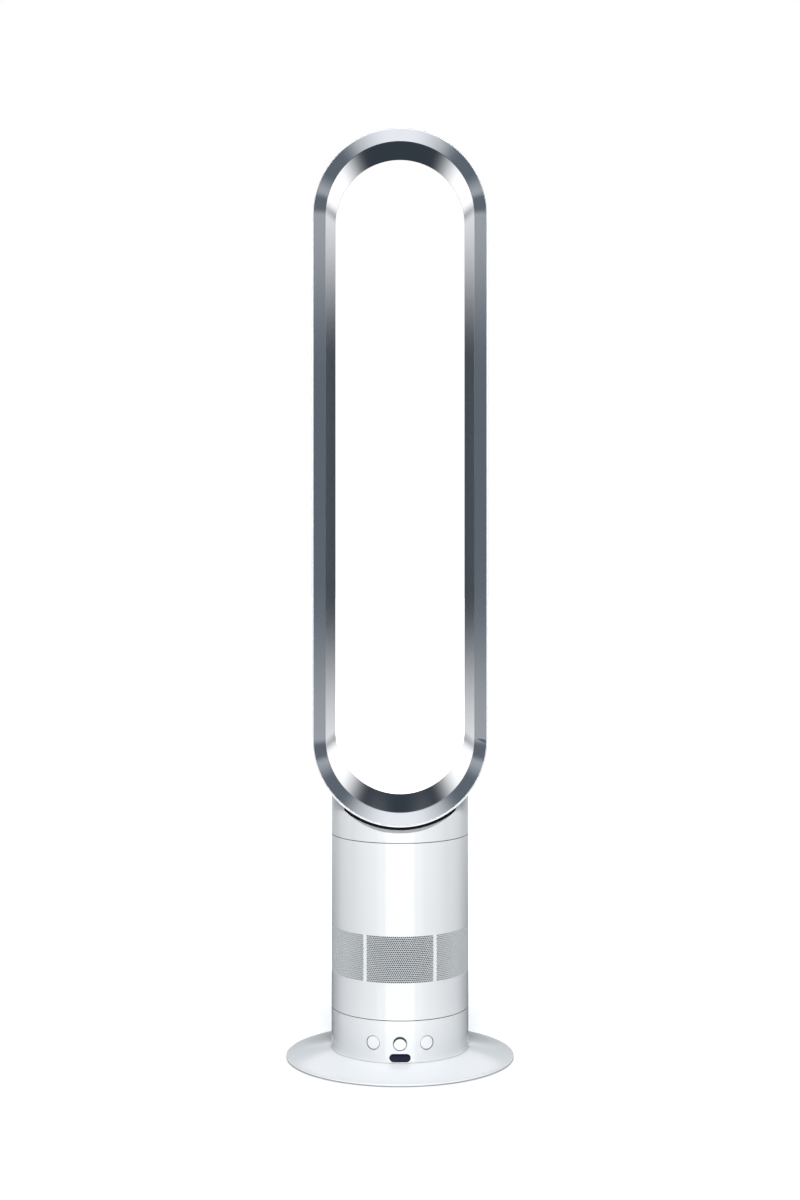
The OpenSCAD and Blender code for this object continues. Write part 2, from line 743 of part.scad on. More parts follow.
module swivel_motor() color("silver") {
    translate([-gear_centres - stepper_offset, 0, chassis_top]) difference() {
        union() {
            rotate_extrude() polygon(concat(
                [[0, 0], [stepper_r, 0]],
                arc([stepper_r - stepper_round, stepper_h - stepper_round], stepper_round,
                    stepper_round, 0, 90, 4),
                [[0, stepper_h]]));
            for (side = [-1, 1]) translate([0, side * stepper_ear_reach, 0])
                cylinder(h = stepper_ear_t, r = stepper_ear_r);
            translate([-stepper_ear_r, -stepper_ear_reach, 0])
                cube([2 * stepper_ear_r, 2 * stepper_ear_reach, stepper_ear_t]);
        }
        translate([stepper_offset, 0, -cut])
            cylinder(h = pinion_z + pinion_shaft_h - chassis_top + 2 * cut, r = pinion_shaft_r + shaft_fit);
        for (side = [-1, 1]) translate([0, side * stepper_ear_reach, -cut])
            cylinder(h = stepper_ear_t + 2 * cut, r = small_screw_r + shaft_fit);
    }
}
module motor_screws() color("dimgray") {
    stepper_ears() translate([0, 0, chassis_top + stepper_ear_t])
        small_screw(stepper_ear_t + chassis_t - fit);
}
module board_corners() {
    for (x = [-1, 1], y = [0, 1]) translate([x * (board_w / 2 - standoff_inset),
        board_y + (y == 0 ? standoff_inset : board_d - standoff_inset), 0]) children();
}
module control_board() color("darkgreen") {
    difference() {
        translate([-board_w / 2, board_y, board_z]) cube([board_w, board_d, board_t]);
        board_corners() translate([0, 0, board_z - cut])
            cylinder(h = board_t + 2 * cut, r = small_screw_r + shaft_fit);
    }
}
module board_parts() color("dimgray") {
    for (s = part_shares)
        translate([(s[0] - 0.5) * board_w, board_y + s[1] * board_d, board_z + board_t])
            cube([s[2] * board_w, s[3] * board_d, s[4] * part_height]);
    for (s = capacitor_shares)
        translate([(s[0] - 0.5) * board_w, board_y + s[1] * board_d, board_z + board_t])
            cylinder(h = part_height, r = s[2] * board_w / 2);
}
module board_screws() color("silver") {
    board_corners() translate([0, 0, board_z + board_t]) small_screw(board_screw_depth + board_t - fit);
}
// A wall that follows the body's curve behind the buttons
module front_arc(r, t, angle, z, h) {
    translate([0, 0, z]) rotate([0, 0, 270 - angle / 2]) rotate_extrude(angle = angle)
        translate([r, 0]) square([t, h]);
}
module button_carrier() color("lightgray") {
    front_arc(carrier_r - carrier_t, carrier_t, carrier_angle, chassis_top, carrier_h);
}
module button_board() color("darkgreen") {
    front_arc(carrier_r + fit, flex_t, flex_angle, button_z - flex_h / 2, flex_h);
}
module switches() color("dimgray") {
    for (i = [-1 : 1]) facing(i * button_step, switch_back, button_z) difference() {
        translate([-switch_w / 2, -switch_w / 2, 0]) cube([switch_w, switch_w, switch_t]);
        translate([0, 0, (plunger_in - switch_back) - button_travel - fit])
            cylinder(h = switch_t, r = plunger_r + shaft_fit);
    }
}
module window() color("black") {
    intersection() {
        window_prism(-window_lap);
        rotate_extrude() polygon(lower_profile(fit));
    }
}
module ir_receiver() color("black") {
    translate([-receiver_w / 2, receiver_t - chassis_r, chassis_top])
        cube([receiver_w, receiver_t, receiver_h]);
}

// Buttons
module button_cap(dish) {
    intersection() {
        difference() {
            facing(0, 0, 0) rotate_extrude() polygon(concat(
                [[0, plunger_out], [stem_r, plunger_out], [stem_r, button_flange_back],
                 [button_flange_r, button_flange_back], [button_flange_r, button_flange_front],
                 [button_r, button_flange_front]],
                arc([button_r - button_round, sqrt(pow(body_r, 2) - pow(button_r, 2)) - button_round],
                    button_round, button_round, 0, 90, 4),
                [[0, body_r]]));
            if (dish) translate([0, -body_r - button_dish_r + button_dish_depth, 0])
                sphere(r = button_dish_r);
        }
        translate([0, 0, -body_r]) cylinder(h = 2 * body_r, r = body_r);
    }
}
module button(angle, dish) {
    rotate([0, 0, angle]) translate([0, 0, button_z]) button_cap(dish);
}
module plunger(angle) {
    facing(angle, plunger_in, button_z) cylinder(h = plunger_out - plunger_in, r = plunger_r);
}
module power_button() color("white") button(0, true);
module left_button() color("white") button(-button_step, false);
module right_button() color("white") button(button_step, false);
module power_plunger() color("black") plunger(0);
module left_plunger() color("black") plunger(-button_step);
module right_plunger() color("black") plunger(button_step);

// Main casing
module body_screws() color("silver") {
    around(body_screw_count, body_screw_ring_r) translate([0, 0, lower_top - body_ledge_t])
        rotate([180, 0, 0]) big_screw(body_screw_depth);
}
module main_casing() color("white") {
    panel = 360 / grille_panels;
    difference() {
        union() {
            translate([0, 0, main_z]) ring(body_r, body_in_r, main_h);
            translate([0, 0, main_z - foot_ring_h])
                ring(seam_r, body_in_r - body_ledge_w, foot_ring_h + main_floor_t);
            translate([0, 0, main_z]) cylinder(h = main_floor_t, r = seam_r);
            translate([0, 0, grille_z - band_over])
                ring(seam_r, band_in_r, grille_h + 2 * band_over);
            translate([0, 0, shelf_z]) ring(seam_r, shelf_in_r, shelf_t);
            translate([0, 0, main_top - top_ledge_t])
                ring(seam_r, body_in_r - top_ledge_w, top_ledge_t);
            around(body_screw_count, body_screw_ring_r) translate([0, 0, main_z])
                cylinder(h = body_screw_depth, r = boss_r);
            around(neck_screw_count, neck_screw_ring_r, 45)
                translate([0, 0, main_top - top_ledge_t]) cylinder(h = top_ledge_t, r = boss_r);
        }
        translate([0, 0, main_z - cut]) cylinder(h = main_floor_t + 2 * cut, r = main_floor_hole_r);
        translate([0, 0, grille_z]) ring(body_r + cut, rebate_r, grille_h);
        for (i = [0 : grille_panels - 1]) rotate([0, 0, 270 - panel / 2 + i * panel + pillar_angle / 2])
            translate([0, 0, grille_z + sill]) rotate_extrude(angle = panel - pillar_angle)
                translate([band_in_r - cut, 0])
                    square([grille_wall + body_wall + 2 * cut, grille_h - 2 * sill]);
        around(body_screw_count, body_screw_ring_r) translate([0, 0, main_z - foot_ring_h - cut])
            cylinder(h = body_screw_depth + cut, r = screw_r + shaft_fit);
        around(housing_screw_count, housing_screw_ring_r) translate([0, 0, shelf_z - cut])
            cylinder(h = shelf_t + 2 * cut, r = small_screw_r + shaft_fit);
        around(neck_screw_count, neck_screw_ring_r, 45) translate([0, 0, main_top - top_ledge_t - cut])
            cylinder(h = top_ledge_t + 2 * cut, r = small_screw_r + shaft_fit);
    }
}
module inlet_grille() color("gainsboro") {
    panel = 360 / grille_panels;
    step = (panel - plain_angle) / (grille_cols + 0.5);
    row = grille_h / (grille_rows + 0.4);
    difference() {
        translate([0, 0, grille_z]) ring(body_r, grille_back_r, grille_h);
        for (p = [0 : grille_panels - 1], i = [0 : grille_cols - 1], j = [0 : grille_rows - 1])
            facing((p - 0.5) * panel + plain_angle / 2 + (i + 0.5 + (j % 2) / 2) * step,
                   grille_back_r - cut, grille_z + (j + 0.7) * row)
                cylinder(h = grille_wall + 2 * cut, d = grille_hole_d, $fn = 24);
    }
}
// Fine mesh sleeve inside the perforated band, up to the fan housing's shelf
module dust_mesh() color("dimgray") {
    out_r = band_in_r - fit;
    translate([0, 0, grille_z]) ring(out_r, out_r - mesh_t, shelf_z - grille_z);
}
module floor_foam() color("dimgray") {
    translate([0, 0, main_z + main_floor_t])
        ring(body_screw_ring_r - boss_r - 2 * fit, main_floor_hole_r, foam_h);
}

// Fan housing, motor and impeller
housing_path = concat(
    arc([bell_r, housing_z + fit], bell_r - throat_in_r, bell_drop, 270, 180, 6),
    [[throat_in_r, impeller_z], [duct_r - duct_step, impeller_top],
     [duct_r - duct_step, diffuser_z - fit], [duct_r, diffuser_z - fit],
     [duct_r, housing_top - duct_taper_h], [neck_in_r, housing_top - top_flange_t],
     [neck_in_r, housing_top]]);
module housing_seal() color("dimgray") {
    difference() {
        translate([0, 0, shelf_z + shelf_t]) ring(housing_flange_r, shelf_in_r, seal_t);
        around(housing_screw_count, housing_screw_ring_r) translate([0, 0, shelf_z])
            cylinder(h = shelf_t + seal_t + cut, r = small_screw_r + fit);
    }
}
module impeller_housing() color("lightgray") {
    flange_in_r = throat_in_r + housing_wall / 2;
    difference() {
        union() {
            rotate_extrude() polygon(wall_of(housing_path, -housing_wall));
            translate([0, 0, housing_z]) difference() {
                cylinder(h = housing_flange_t, r = housing_flange_r);
                translate([0, 0, -cut]) cylinder(h = housing_flange_t + 2 * cut, r = flange_in_r);
            }
            translate([0, 0, housing_top - top_flange_t])
                ring(top_flange_r, neck_in_r, top_flange_t);
        }
        around(housing_screw_count, housing_screw_ring_r) translate([0, 0, housing_z - cut])
            cylinder(h = housing_flange_t + 2 * cut, r = small_screw_r + fit);
    }
}
module housing_screws() color("silver") {
    around(housing_screw_count, housing_screw_ring_r)
        translate([0, 0, housing_z + housing_flange_t]) small_screw(housing_screw_depth);
}
module cup_bosses() around(cup_screw_count, cup_screw_ring_r, 30) children();
module motor_cup() color("lightgray") {
    difference() {
        union() {
            translate([0, 0, cup_z]) difference() {
                cylinder(h = cup_h, r = cup_r);
                translate([0, 0, cup_wall]) cylinder(h = cup_h, r = cup_r - cup_wall);
            }
            translate([0, 0, cup_z]) cylinder(h = cup_wall + bearing_h, r = bearing_r + cup_wall);
            cup_bosses() translate([0, 0, cup_z]) cylinder(h = cup_h, r = small_head_r);
        }
        translate([0, 0, cup_z - cut]) cylinder(h = cup_h, r = motor_shaft_r + tip_gap);
        translate([0, 0, cup_z + cup_wall]) cylinder(h = cup_h, r = bearing_r);
        cup_bosses() translate([0, 0, cup_z - cut]) cylinder(h = cup_h + 2 * cut, r = small_screw_r + fit);
    }
}
module diffuser() color("lightgray") {
    top = diffuser_z + diffuser_cup_h;
    difference() {
        union() {
            rotate_extrude() polygon(wall_of(concat(
                [[cup_r, diffuser_z]], arc([0, top], cup_r, dome_h, 0, dome_angle, dome_steps),
                [[0, top + dome_h * sin(dome_angle)]]), cup_wall));
            translate([0, 0, diffuser_z]) ring(duct_r - fit, duct_r - duct_step, vane_h);
            for (i = [0 : vanes - 1]) rotate([0, 0, i * 360 / vanes])
                blade(diffuser_z + fit, diffuser_z + vane_h - fit, function(s) cup_r - cup_wall / 2,
                      function(s) duct_r - duct_step / 2, vane_turn, vane_power, vane_t);
            translate([0, 0, top - bearing_h])
                cylinder(h = bearing_h + dome_h - cup_wall / 2, r = bearing_r + cup_wall);
            cup_bosses() translate([0, 0, diffuser_z])
                cylinder(h = diffuser_cup_h + dome_h / 4, r = small_head_r);
        }
        translate([0, 0, top - bearing_h - cut]) cylinder(h = bearing_h + cut, r = bearing_r);
        cup_bosses() translate([0, 0, diffuser_z - cut])
            cylinder(h = cup_h / 2, r = small_screw_r + shaft_fit);
    }
}
module cup_screws() color("silver") {
    cup_bosses() translate([0, 0, cup_z]) rotate([180, 0, 0]) small_screw(cup_h + cup_h / 3);
}
module stator() color("peru") {
    difference() {
        union() {
            translate([0, 0, stator_z]) ring(stator_r, stator_r - cup_wall, stator_h);
            for (i = [0 : stator_teeth - 1]) rotate([0, 0, i * 360 / stator_teeth]) {
                translate([stator_in_r, -coil_w / 4, stator_z])
                    cube([stator_r - stator_in_r - cup_wall / 2, coil_w / 2, stator_h]);
                translate([stator_in_r + cup_wall, -coil_w / 2,
                           stator_z + stator_h * (1 - coil_h_share) / 2])
                    cube([stator_r - stator_in_r - 2 * cup_wall, coil_w, stator_h * coil_h_share]);
            }
        }
        translate([0, 0, stator_z - cut]) cylinder(h = stator_h + 2 * cut, r = stator_in_r);
    }
}
module motor_mounts() color("dimgray") {
    for (i = [0 : mount_count - 1]) rotate([0, 0, 90 - mount_angle / 2 + i * 360 / mount_count])
        translate([0, 0, stator_z]) rotate_extrude(angle = mount_angle) translate([stator_r + fit, 0])
            square([cup_r - cup_wall - stator_r - 2 * fit, stator_h]);
}
upper_bearing_z = diffuser_z + diffuser_cup_h - bearing_h;
module bearings() color("silver") {
    for (z = [cup_z + cup_wall, upper_bearing_z])
        translate([0, 0, z]) ring(bearing_r, motor_shaft_r + shaft_fit, bearing_h);
}
module impeller() color("gray") {
    difference() {
        union() {
            translate([0, 0, impeller_z]) rotate_extrude() polygon(concat(
                [[0, 0], [hub_nose_r, 0]],
                tail(arc([hub_r, 0], hub_nose_r - hub_r, impeller_h, 0, 90, hub_steps)),
                [[0, impeller_h]]));
            for (i = [0 : blades - 1]) rotate([0, 0, i * 360 / blades])
                blade(impeller_z, impeller_top, function(s) hub_radius(s) - blade_t / 2,
                      function(s) blade_tip_radius(s), blade_turn, blade_power, blade_t);
        }
        translate([0, 0, impeller_z - cut]) cylinder(h = impeller_h + 2 * cut, r = motor_shaft_r);
    }
}
module motor_shaft() color("silver") {
    translate([0, 0, impeller_z - shaft_foot])
        cylinder(h = upper_bearing_z + bearing_h - fit - impeller_z + shaft_foot, r = motor_shaft_r);
}
module rotor() color("dimgray") {
    translate([0, 0, stator_z]) ring(stator_in_r - rotor_gap, motor_shaft_r, stator_h);
}

// Neck, collar and loop
module neck_seal() color("dimgray") {
    translate([0, 0, housing_top]) ring(top_flange_r - fit, neck_in_r, main_top - housing_top);
}
module neck_duct() color("lightgray") {
    difference() {
        union() {
            translate([0, 0, main_top]) cylinder(h = neck_flange_t, r = neck_flange_r);
            difference() {
                translate([0, 0, main_top]) cylinder(h = loop_r, r = neck_shoulder_r);
                loop_bore(loop_r + shaft_fit);
            }
            difference() {
                translate([0, 0, main_top]) cylinder(h = loop_r, r = neck_r);
                loop_bore(loop_r - loop_wall - neck_stand);
            }
        }
        translate([0, 0, main_top - cut]) cylinder(h = loop_r + 2 * cut, r = neck_in_r);
        around(neck_screw_count, neck_screw_ring_r, 45) translate([0, 0, main_top - cut])
            cylinder(h = neck_flange_t + 2 * cut, r = small_screw_r + fit);
    }
}
module neck_screws() color("silver") {
    around(neck_screw_count, neck_screw_ring_r, 45)
        translate([0, 0, main_top + neck_flange_t]) small_screw(neck_screw_depth);
}
// The part of a child that lies within the shadow slot's width
module slot_part(less = 0) {
    half = shadow_slot_share * body_r - less;
    intersection() {
        children();
        translate([-half, -loop_depth, main_top]) cube([2 * half, 2 * loop_depth, loop_r]);
    }
}
module collar() color("white") {
    difference() {
        union() {
            translate([0, 0, collar_z]) cylinder(h = saddle_r, r = body_r);
            translate([0, 0, main_top]) cylinder(h = 2 * seam_gap, r = seam_r);
        }
        loop_bore(loop_r + saddle_fit);
        slot_part() loop_bore(saddle_r);
        difference() {
            translate([0, 0, main_top - cut]) cylinder(h = saddle_r, r = body_in_r);
            loop_bore(saddle_r + body_wall);
        }
        translate([0, 0, main_top - cut]) cylinder(h = saddle_r, r = neck_shoulder_r + fit);
    }
}
// Black pad on the collar's saddle, just behind the loop's front
module saddle_pad() color("dimgray") {
    reach = loop_front - rim_step - pad_back;
    slot_part(fit) difference() {
        intersection() {
            loop_bore(saddle_r);
            translate([0, 0, collar_z]) cylinder(h = saddle_r, r = seam_r);
            translate([-body_r, -reach, collar_z]) cube([2 * body_r, 2 * reach, saddle_r]);
        }
        loop_bore(saddle_r - pad_t);
        translate([0, 0, collar_z]) cylinder(h = saddle_r, r = neck_shoulder_r + fit);
    }
}
outer_outline = concat(
    [[rim_r, -rim_front], [loop_r - rim_round, -rim_front], [loop_r, rim_round - rim_front]],
    arc([nose_mid_r, nose_y], nose_half, nose_depth, 0, 180, nose_steps),
    [for (i = [nose_steps : -1 : 0]) let (a = 180 * i / nose_steps,
        t = loop_wall + (lip_t - loop_wall) * i / nose_steps)
        [nose_mid_r + (nose_half - t) * cos(a), nose_y + (nose_depth - loop_wall) * sin(a)]],
    [[loop_r - loop_wall, -seat_y], [rim_r, -seat_y]]);
slot_y = nose_y + slot_lap;
face_path = concat(
    [[rim_r - fit - rim_round, -loop_front],
     [ridge_r + rim_round, -ridge_y - rim_round * (loop_front - ridge_y) / (rim_r - ridge_r)],
     [ridge_r, rim_round - ridge_y]],
    [for (i = [1 : wall_steps]) let (s = 1 - i / wall_steps)
        [slot_r + (ridge_r - slot_r) * pow(s, wall_power), nose_y - s * (nose_y + ridge_y)]],
    arc([slot_r + curl_r, slot_y], curl_r, curl_r, 180, 90, curl_steps));
back_path = beside(face_path, -inner_wall);
inner_outline = concat(
    [[rim_r - fit, -seat_y], [rim_r - fit, rim_round - loop_front]], face_path,
    flipped(tail(back_path)), [at_height(back_path[0], back_path[1], -seat_y)]);
module nozzle_outer() color("white") {
    difference() {
        loop_sweep() polygon(outer_outline);
        translate([0, 0, main_top]) cylinder(h = loop_r, r = neck_r + fit);
    }
}
module nozzle_inner() color("silver") {
    loop_sweep() polygon(inner_outline);
}
module slot_spacers() color("silver") {
    for (side = [0, 1], i = [0 : spacer_count - 1]) mirror([side, 0, 0])
        translate([throat_r + lip_t + fit, nose_y, loop_low_z + (i + 0.5) * loop_straight / spacer_count])
            cube([slot_w - fit, slot_lap, spacer_t]);
}
module loop_seal() color("gray") {
    loop_sweep() translate([loop_r - loop_wall - seal_w - shaft_fit, -seat_y]) square(seal_w);
}

// The motor's pinion and its shaft
module swivel_pinion() color("ivory") {
    translate([-gear_centres, 0, pinion_z]) difference() {
        rotate([0, 0, 180 / pinion_teeth])
            linear_extrude(height = pinion_t) polygon(gear_points(pinion_teeth));
        translate([0, 0, -cut]) cylinder(h = pinion_t + 2 * cut, r = pinion_shaft_r);
    }
}
module pinion_shaft() color("silver") {
    translate([-gear_centres, 0, pinion_z]) cylinder(h = pinion_shaft_h, r = pinion_shaft_r);
}

base_plate();
ballast_ring();
bottom_cover();
foot_ring();
cover_screws();
fixed_gear();
gear_screws();
thrust_washer();
spindle_washer();
washer_screws();
cord_grommet();
lower_casing();
chassis();
chassis_screws();
swivel_bush();
swivel_motor();
motor_screws();
control_board();
board_parts();
board_screws();
button_carrier();
button_board();
switches();
window();
ir_receiver();
body_screws();
main_casing();
inlet_grille();
dust_mesh();
floor_foam();
housing_seal();
impeller_housing();
housing_screws();
motor_cup();
diffuser();
cup_screws();
stator();
motor_mounts();
bearings();
neck_seal();
neck_duct();
neck_screws();
collar();
saddle_pad();
nozzle_outer();
nozzle_inner();
slot_spacers();
loop_seal();
impeller();
motor_shaft();
rotor();
swivel_pinion();
pinion_shaft();
power_button();
left_button();
right_button();
power_plunger();
left_plunger();
right_plunger();
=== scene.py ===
"""Bladeless tower fan: finishes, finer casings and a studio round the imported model. Metres, Z up."""

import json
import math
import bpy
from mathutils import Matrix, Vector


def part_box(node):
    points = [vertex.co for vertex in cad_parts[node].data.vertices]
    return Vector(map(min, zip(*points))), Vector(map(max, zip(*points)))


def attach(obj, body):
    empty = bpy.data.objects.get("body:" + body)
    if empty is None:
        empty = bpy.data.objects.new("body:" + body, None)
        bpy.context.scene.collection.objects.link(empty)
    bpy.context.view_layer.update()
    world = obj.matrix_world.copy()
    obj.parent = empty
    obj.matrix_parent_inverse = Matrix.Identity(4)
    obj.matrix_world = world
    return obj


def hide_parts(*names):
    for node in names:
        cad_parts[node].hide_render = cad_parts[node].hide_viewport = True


bl_info = {
    "name": "Bladeless tower fan",
    "version": (1, 0, 0),
    "blender": (4, 5, 0),
    "location": "3D View > Sidebar > Tower fan",
    "description": "Dresses the tower fan's parts and sets up its studio",
    "category": "Object",
}

import bmesh
import bpy
from bpy.props import FloatProperty, FloatVectorProperty, IntProperty, PointerProperty
from mathutils import Matrix, Vector

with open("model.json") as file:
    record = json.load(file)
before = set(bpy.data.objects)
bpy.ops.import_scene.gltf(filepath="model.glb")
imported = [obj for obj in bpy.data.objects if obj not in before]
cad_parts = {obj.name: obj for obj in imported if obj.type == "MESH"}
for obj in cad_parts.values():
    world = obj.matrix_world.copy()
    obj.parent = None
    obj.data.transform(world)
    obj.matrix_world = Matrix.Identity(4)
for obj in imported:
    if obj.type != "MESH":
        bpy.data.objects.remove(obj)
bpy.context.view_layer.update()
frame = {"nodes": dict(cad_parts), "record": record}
NODES = frame["nodes"]
LOOP_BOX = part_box("nozzle_outer")
FACE_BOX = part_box("nozzle_inner")
GRILLE_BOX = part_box("inlet_grille")

# Radius of the body, radius of a button, and the angle between neighbouring buttons
BODY_R, BUTTON_R, BUTTON_STEP = 0.0746, 0.007, math.radians(22.5)
# Radii between which a casing's white skin gives way to the painted shade of its inside
INSIDE_R, SKIN_R = 0.0741, 0.0744
# Largest angle between faces that still shade smoothly, on the casings, the silver wall and the grille
SHARP, SHARP_SILVER, SHARP_GRILLE = math.radians(32), math.radians(40), math.radians(35)

# Painted shade of the casings' insides and of the gaps at their seams
INSIDE_SHADE = (0.03, 0.031, 0.034, 1)
# Painted shade of the lower casing above the plate
PLATE_SHADE = (0.5, 0.52, 0.54, 1)
# Painted shade of the gap round each button's hole
RING_SHADE = (0.20, 0.215, 0.225, 1)
# Painted shadow under the upper edge of the middle button's dish
DISH_SHADOW = (0.02, 0.04, 0.05, 1)
PANEL_GREY = (0.72, 0.74, 0.75, 1)
DUST_GREY = (0.66, 0.65, 0.63, 1)
# Painted shade: the near-black of the pad modelled into the slot under the loop, standing in for the shadow of
# that gap
PAD_SLOT_SHADE = (0.006, 0.006, 0.007)


def length(name, description, default):
    return FloatProperty(name=name, description=description, default=default, min=0.0, unit="LENGTH",
                         subtype="DISTANCE", precision=5)


def colour(name, description, default):
    return FloatVectorProperty(name=name, description=description, default=default, size=3, min=0.0, max=1.0,
                               subtype="COLOR")


class LoopSizes(bpy.types.PropertyGroup):
    radius: length("Loop radius", "Outer radius of the loop's round ends", LOOP_BOX[1].x)
    low: length("Lower centre", "Height of the centre of the loop's lower end", LOOP_BOX[0].z + LOOP_BOX[1].x)
    high: length("Upper centre", "Height of the centre of the loop's upper end", LOOP_BOX[1].z - LOOP_BOX[1].x)
    front: length("Front", "How far the silver face lies ahead of the axis", -FACE_BOX[0].y)
    back: length("Back", "How far the round back lies behind the axis", LOOP_BOX[1].y)
    rim: length("Rim width", "Width of the white rim round the silver face", 0.0015)
    rim_step: length("Rim step", "How far the rim lies behind the silver face", 0.0008)
    rim_gap: length("Rim gap", "Gap between the rim and the silver face", 0.0002)
    seat: length("Seat", "How far behind the silver face the two casings meet", 0.0035)
    wall: length("Outer wall", "Wall of the white casing", 0.0024)
    inner_wall: length("Inner skin", "Thickness of the silver skin that is shown", 0.0007)
    crest: length("Crest", "Half width of the opening at its narrowest, where the silver wall turns back", 0.0715)
    crest_y: length("Crest depth", "How far the crest lies behind the axis", 0.0362)
    tail: length("Tail", "Radius of the silver wall's turn from the crest into the outlet slot", 0.0113)
    throat: length("Throat", "Half width of the opening inside the lip behind the crest", 0.0723)
    ridge: length("Ridge", "Half width of the opening at the ridge behind the bevel", 0.0797)
    bevel_depth: length("Bevel depth", "How far the ridge lies behind the front", 0.007)
    lip: length("Lip", "Thickness of the lip at the outlet slot", 0.0012)
    slot: length("Slot", "Width of the outlet slot", 0.0013)
    nose: length("Nose", "Depth of the rounded back", 0.028)
    neck: length("Neck", "Radius of the neck's way through the loop's foot", 0.0402)
    edge_round: length("Edge rounding", "Rounding of the rim's and the silver face's outer edges", 0.0005)
    ridge_round: length("Ridge rounding", "Rounding of the ridge", 0.0007)
    lip_round: length("Lip rounding", "Rounding of the lip", 0.0004)
    spacer_depth: length("Spacer depth", "Size of a spacer along the air's way", 0.004)
    spacer_height: length("Spacer height", "Height of a spacer", 0.0012)
    spacer_in: length("Spacer place", "How far a spacer's middle lies behind the start of the nose", 0.003)
    spacers: IntProperty(name="Spacers", description="Spacers along each side of the slot", default=10, min=2,
                         max=20)
    steps: IntProperty(name="Steps", description="Steps round each end of the loop", default=56, min=8, max=96)


class GrilleSizes(bpy.types.PropertyGroup):
    radius: length("Radius", "Outer radius of the perforated sleeve", GRILLE_BOX[1].x)
    low: length("Foot", "Height of the sleeve's foot", GRILLE_BOX[0].z)
    high: length("Head", "Height of the sleeve's head", GRILLE_BOX[1].z)
    wall: length("Wall", "Thickness of the sleeve", 0.0012)
    hole: length("Hole", "Diameter of one hole", 0.00182)
    panels: IntProperty(name="Panels", description="Panels round the body", default=6, min=3, max=12)
    rows: IntProperty(name="Rows", description="Rows of holes", default=25, min=3, max=40)
    columns: IntProperty(name="Columns", description="Holes in a row of one panel", default=35, min=5, max=60)


class Finishes(bpy.types.PropertyGroup):
    white: colour("White", "Glossy white casings", (0.905, 0.91, 0.915))
    grille: colour("Grille white", "Bars of the perforated sleeve", (0.95, 0.955, 0.96))
    silver: colour("Silver", "Metallic paint of the loop's inner casing", (0.70, 0.71, 0.735))
    inner: colour("Inner grey", "Plain inner mouldings", (0.42, 0.43, 0.45))
    gear: colour("Gear white", "Natural gear plastic", (0.80, 0.77, 0.68))
    black: colour("Black", "Black mouldings", (0.03, 0.03, 0.033))
    lens: colour("Lens", "Tinted window", (0.018, 0.019, 0.028))
    # Painted reflection along the window's upper edge
    lens_reflection: colour("Lens edge", "Tint along the window's upper edge", (0.001, 0.005, 0.045))
    steel: colour("Steel", "Zinc-plated steel", (0.60, 0.61, 0.63))
    iron: colour("Iron", "Cast ballast", (0.13, 0.13, 0.135))
    bronze: colour("Bronze", "Sintered bush", (0.55, 0.36, 0.16))
    copper: colour("Copper", "Enamelled wire", (0.50, 0.20, 0.08))
    board: colour("Board", "Solder mask", (0.02, 0.13, 0.05))
    foam: colour("Foam", "Silencing foam", (0.05, 0.05, 0.055))
    rubber: colour("Rubber", "Foot and seals", (0.045, 0.045, 0.048))


class StudioSizes(bpy.types.PropertyGroup):
    distance: length("Camera distance", "How far the camera stands ahead of the axis", 2.380)
    height: length("Camera height", "Height of the camera", 0.632)
    lens: FloatProperty(name="Lens", description="Focal length in millimetres", default=65.4)
    shift: FloatProperty(name="Shift", description="Vertical shift of the frame", default=-0.1025)
    key_angle: FloatProperty(name="Key height", description="Angle of the key light above the floor",
                             default=math.radians(30), subtype="ANGLE")
    key_power: FloatProperty(name="Key power", description="Power of the key light in watts", default=124.0)
    back_power: FloatProperty(name="Back power", description="Power of the light behind in watts", default=50.0)
    lamp_distance: length("Lamp distance", "Distance of both lamps from the fan's middle", 3.6)
    floor_radius: length("Floor radius", "Radius of the floor", 9.0)
    shade_radius: length("Shade radius", "Where the floor's shade is deepest, from the axis", 0.12)
    clear_radius: length("Clear radius", "Where the floor's shade has faded to white, from the axis", 0.7)
    ambient: colour("Ambient", "Soft light from all round", (0.275, 0.315, 0.35))


# Shader helpers


def group(name, inputs, outputs):
    """An empty node group with its sockets, and its input and output nodes."""
    tree = bpy.data.node_groups.new(name, "ShaderNodeTree")
    kinds = {"value": "NodeSocketFloat", "colour": "NodeSocketColor", "vector": "NodeSocketVector"}
    for label, kind, default in inputs:
        socket = tree.interface.new_socket(name=label, in_out="INPUT", socket_type=kinds[kind])
        if default is not None:
            socket.default_value = default
    for label, kind in outputs:
        tree.interface.new_socket(name=label, in_out="OUTPUT", socket_type=kinds[kind])
    return tree, tree.nodes.new("NodeGroupInput"), tree.nodes.new("NodeGroupOutput")


def feed(tree, socket, given):
    """Links a socket to the socket that feeds it, or sets its value."""
    if isinstance(given, bpy.types.NodeSocket):
        tree.links.new(given, socket)
    else:
        socket.default_value = given


def node(tree, kind, settings=None, **links):
    """A node with its settings and its inputs, each named, or numbered as in i0."""
    made = tree.nodes.new(kind)
    for key, value in (settings or {}).items():
        setattr(made, key, value)
    for key, value in links.items():
        numbered = key[0] == "i" and key[1:].isdigit()
        feed(tree, made.inputs[int(key[1:]) if numbered else key], value)
    return made


def sums(tree, operation, *values):
    """The outcome of a math node."""
    made = tree.nodes.new("ShaderNodeMath")
    made.operation = operation
    for socket, value in zip(made.inputs, values):
        feed(tree, socket, value)
    return made.outputs[0]


def product(tree, first, *others):
    for other in others:
        first = sums(tree, "MULTIPLY", first, other)
    return first


def ramp(tree, value, low, high, to_low=0.0, to_high=1.0):
    """A smooth step from to_low to to_high as value goes from low to high."""
    made = tree.nodes.new("ShaderNodeMapRange")
    made.interpolation_type = "SMOOTHSTEP"
    for name, given in (("Value", value), ("From Min", low), ("From Max", high), ("To Min", to_low),
                        ("To Max", to_high)):
        feed(tree, made.inputs[name], given)
    return made.outputs["Result"]


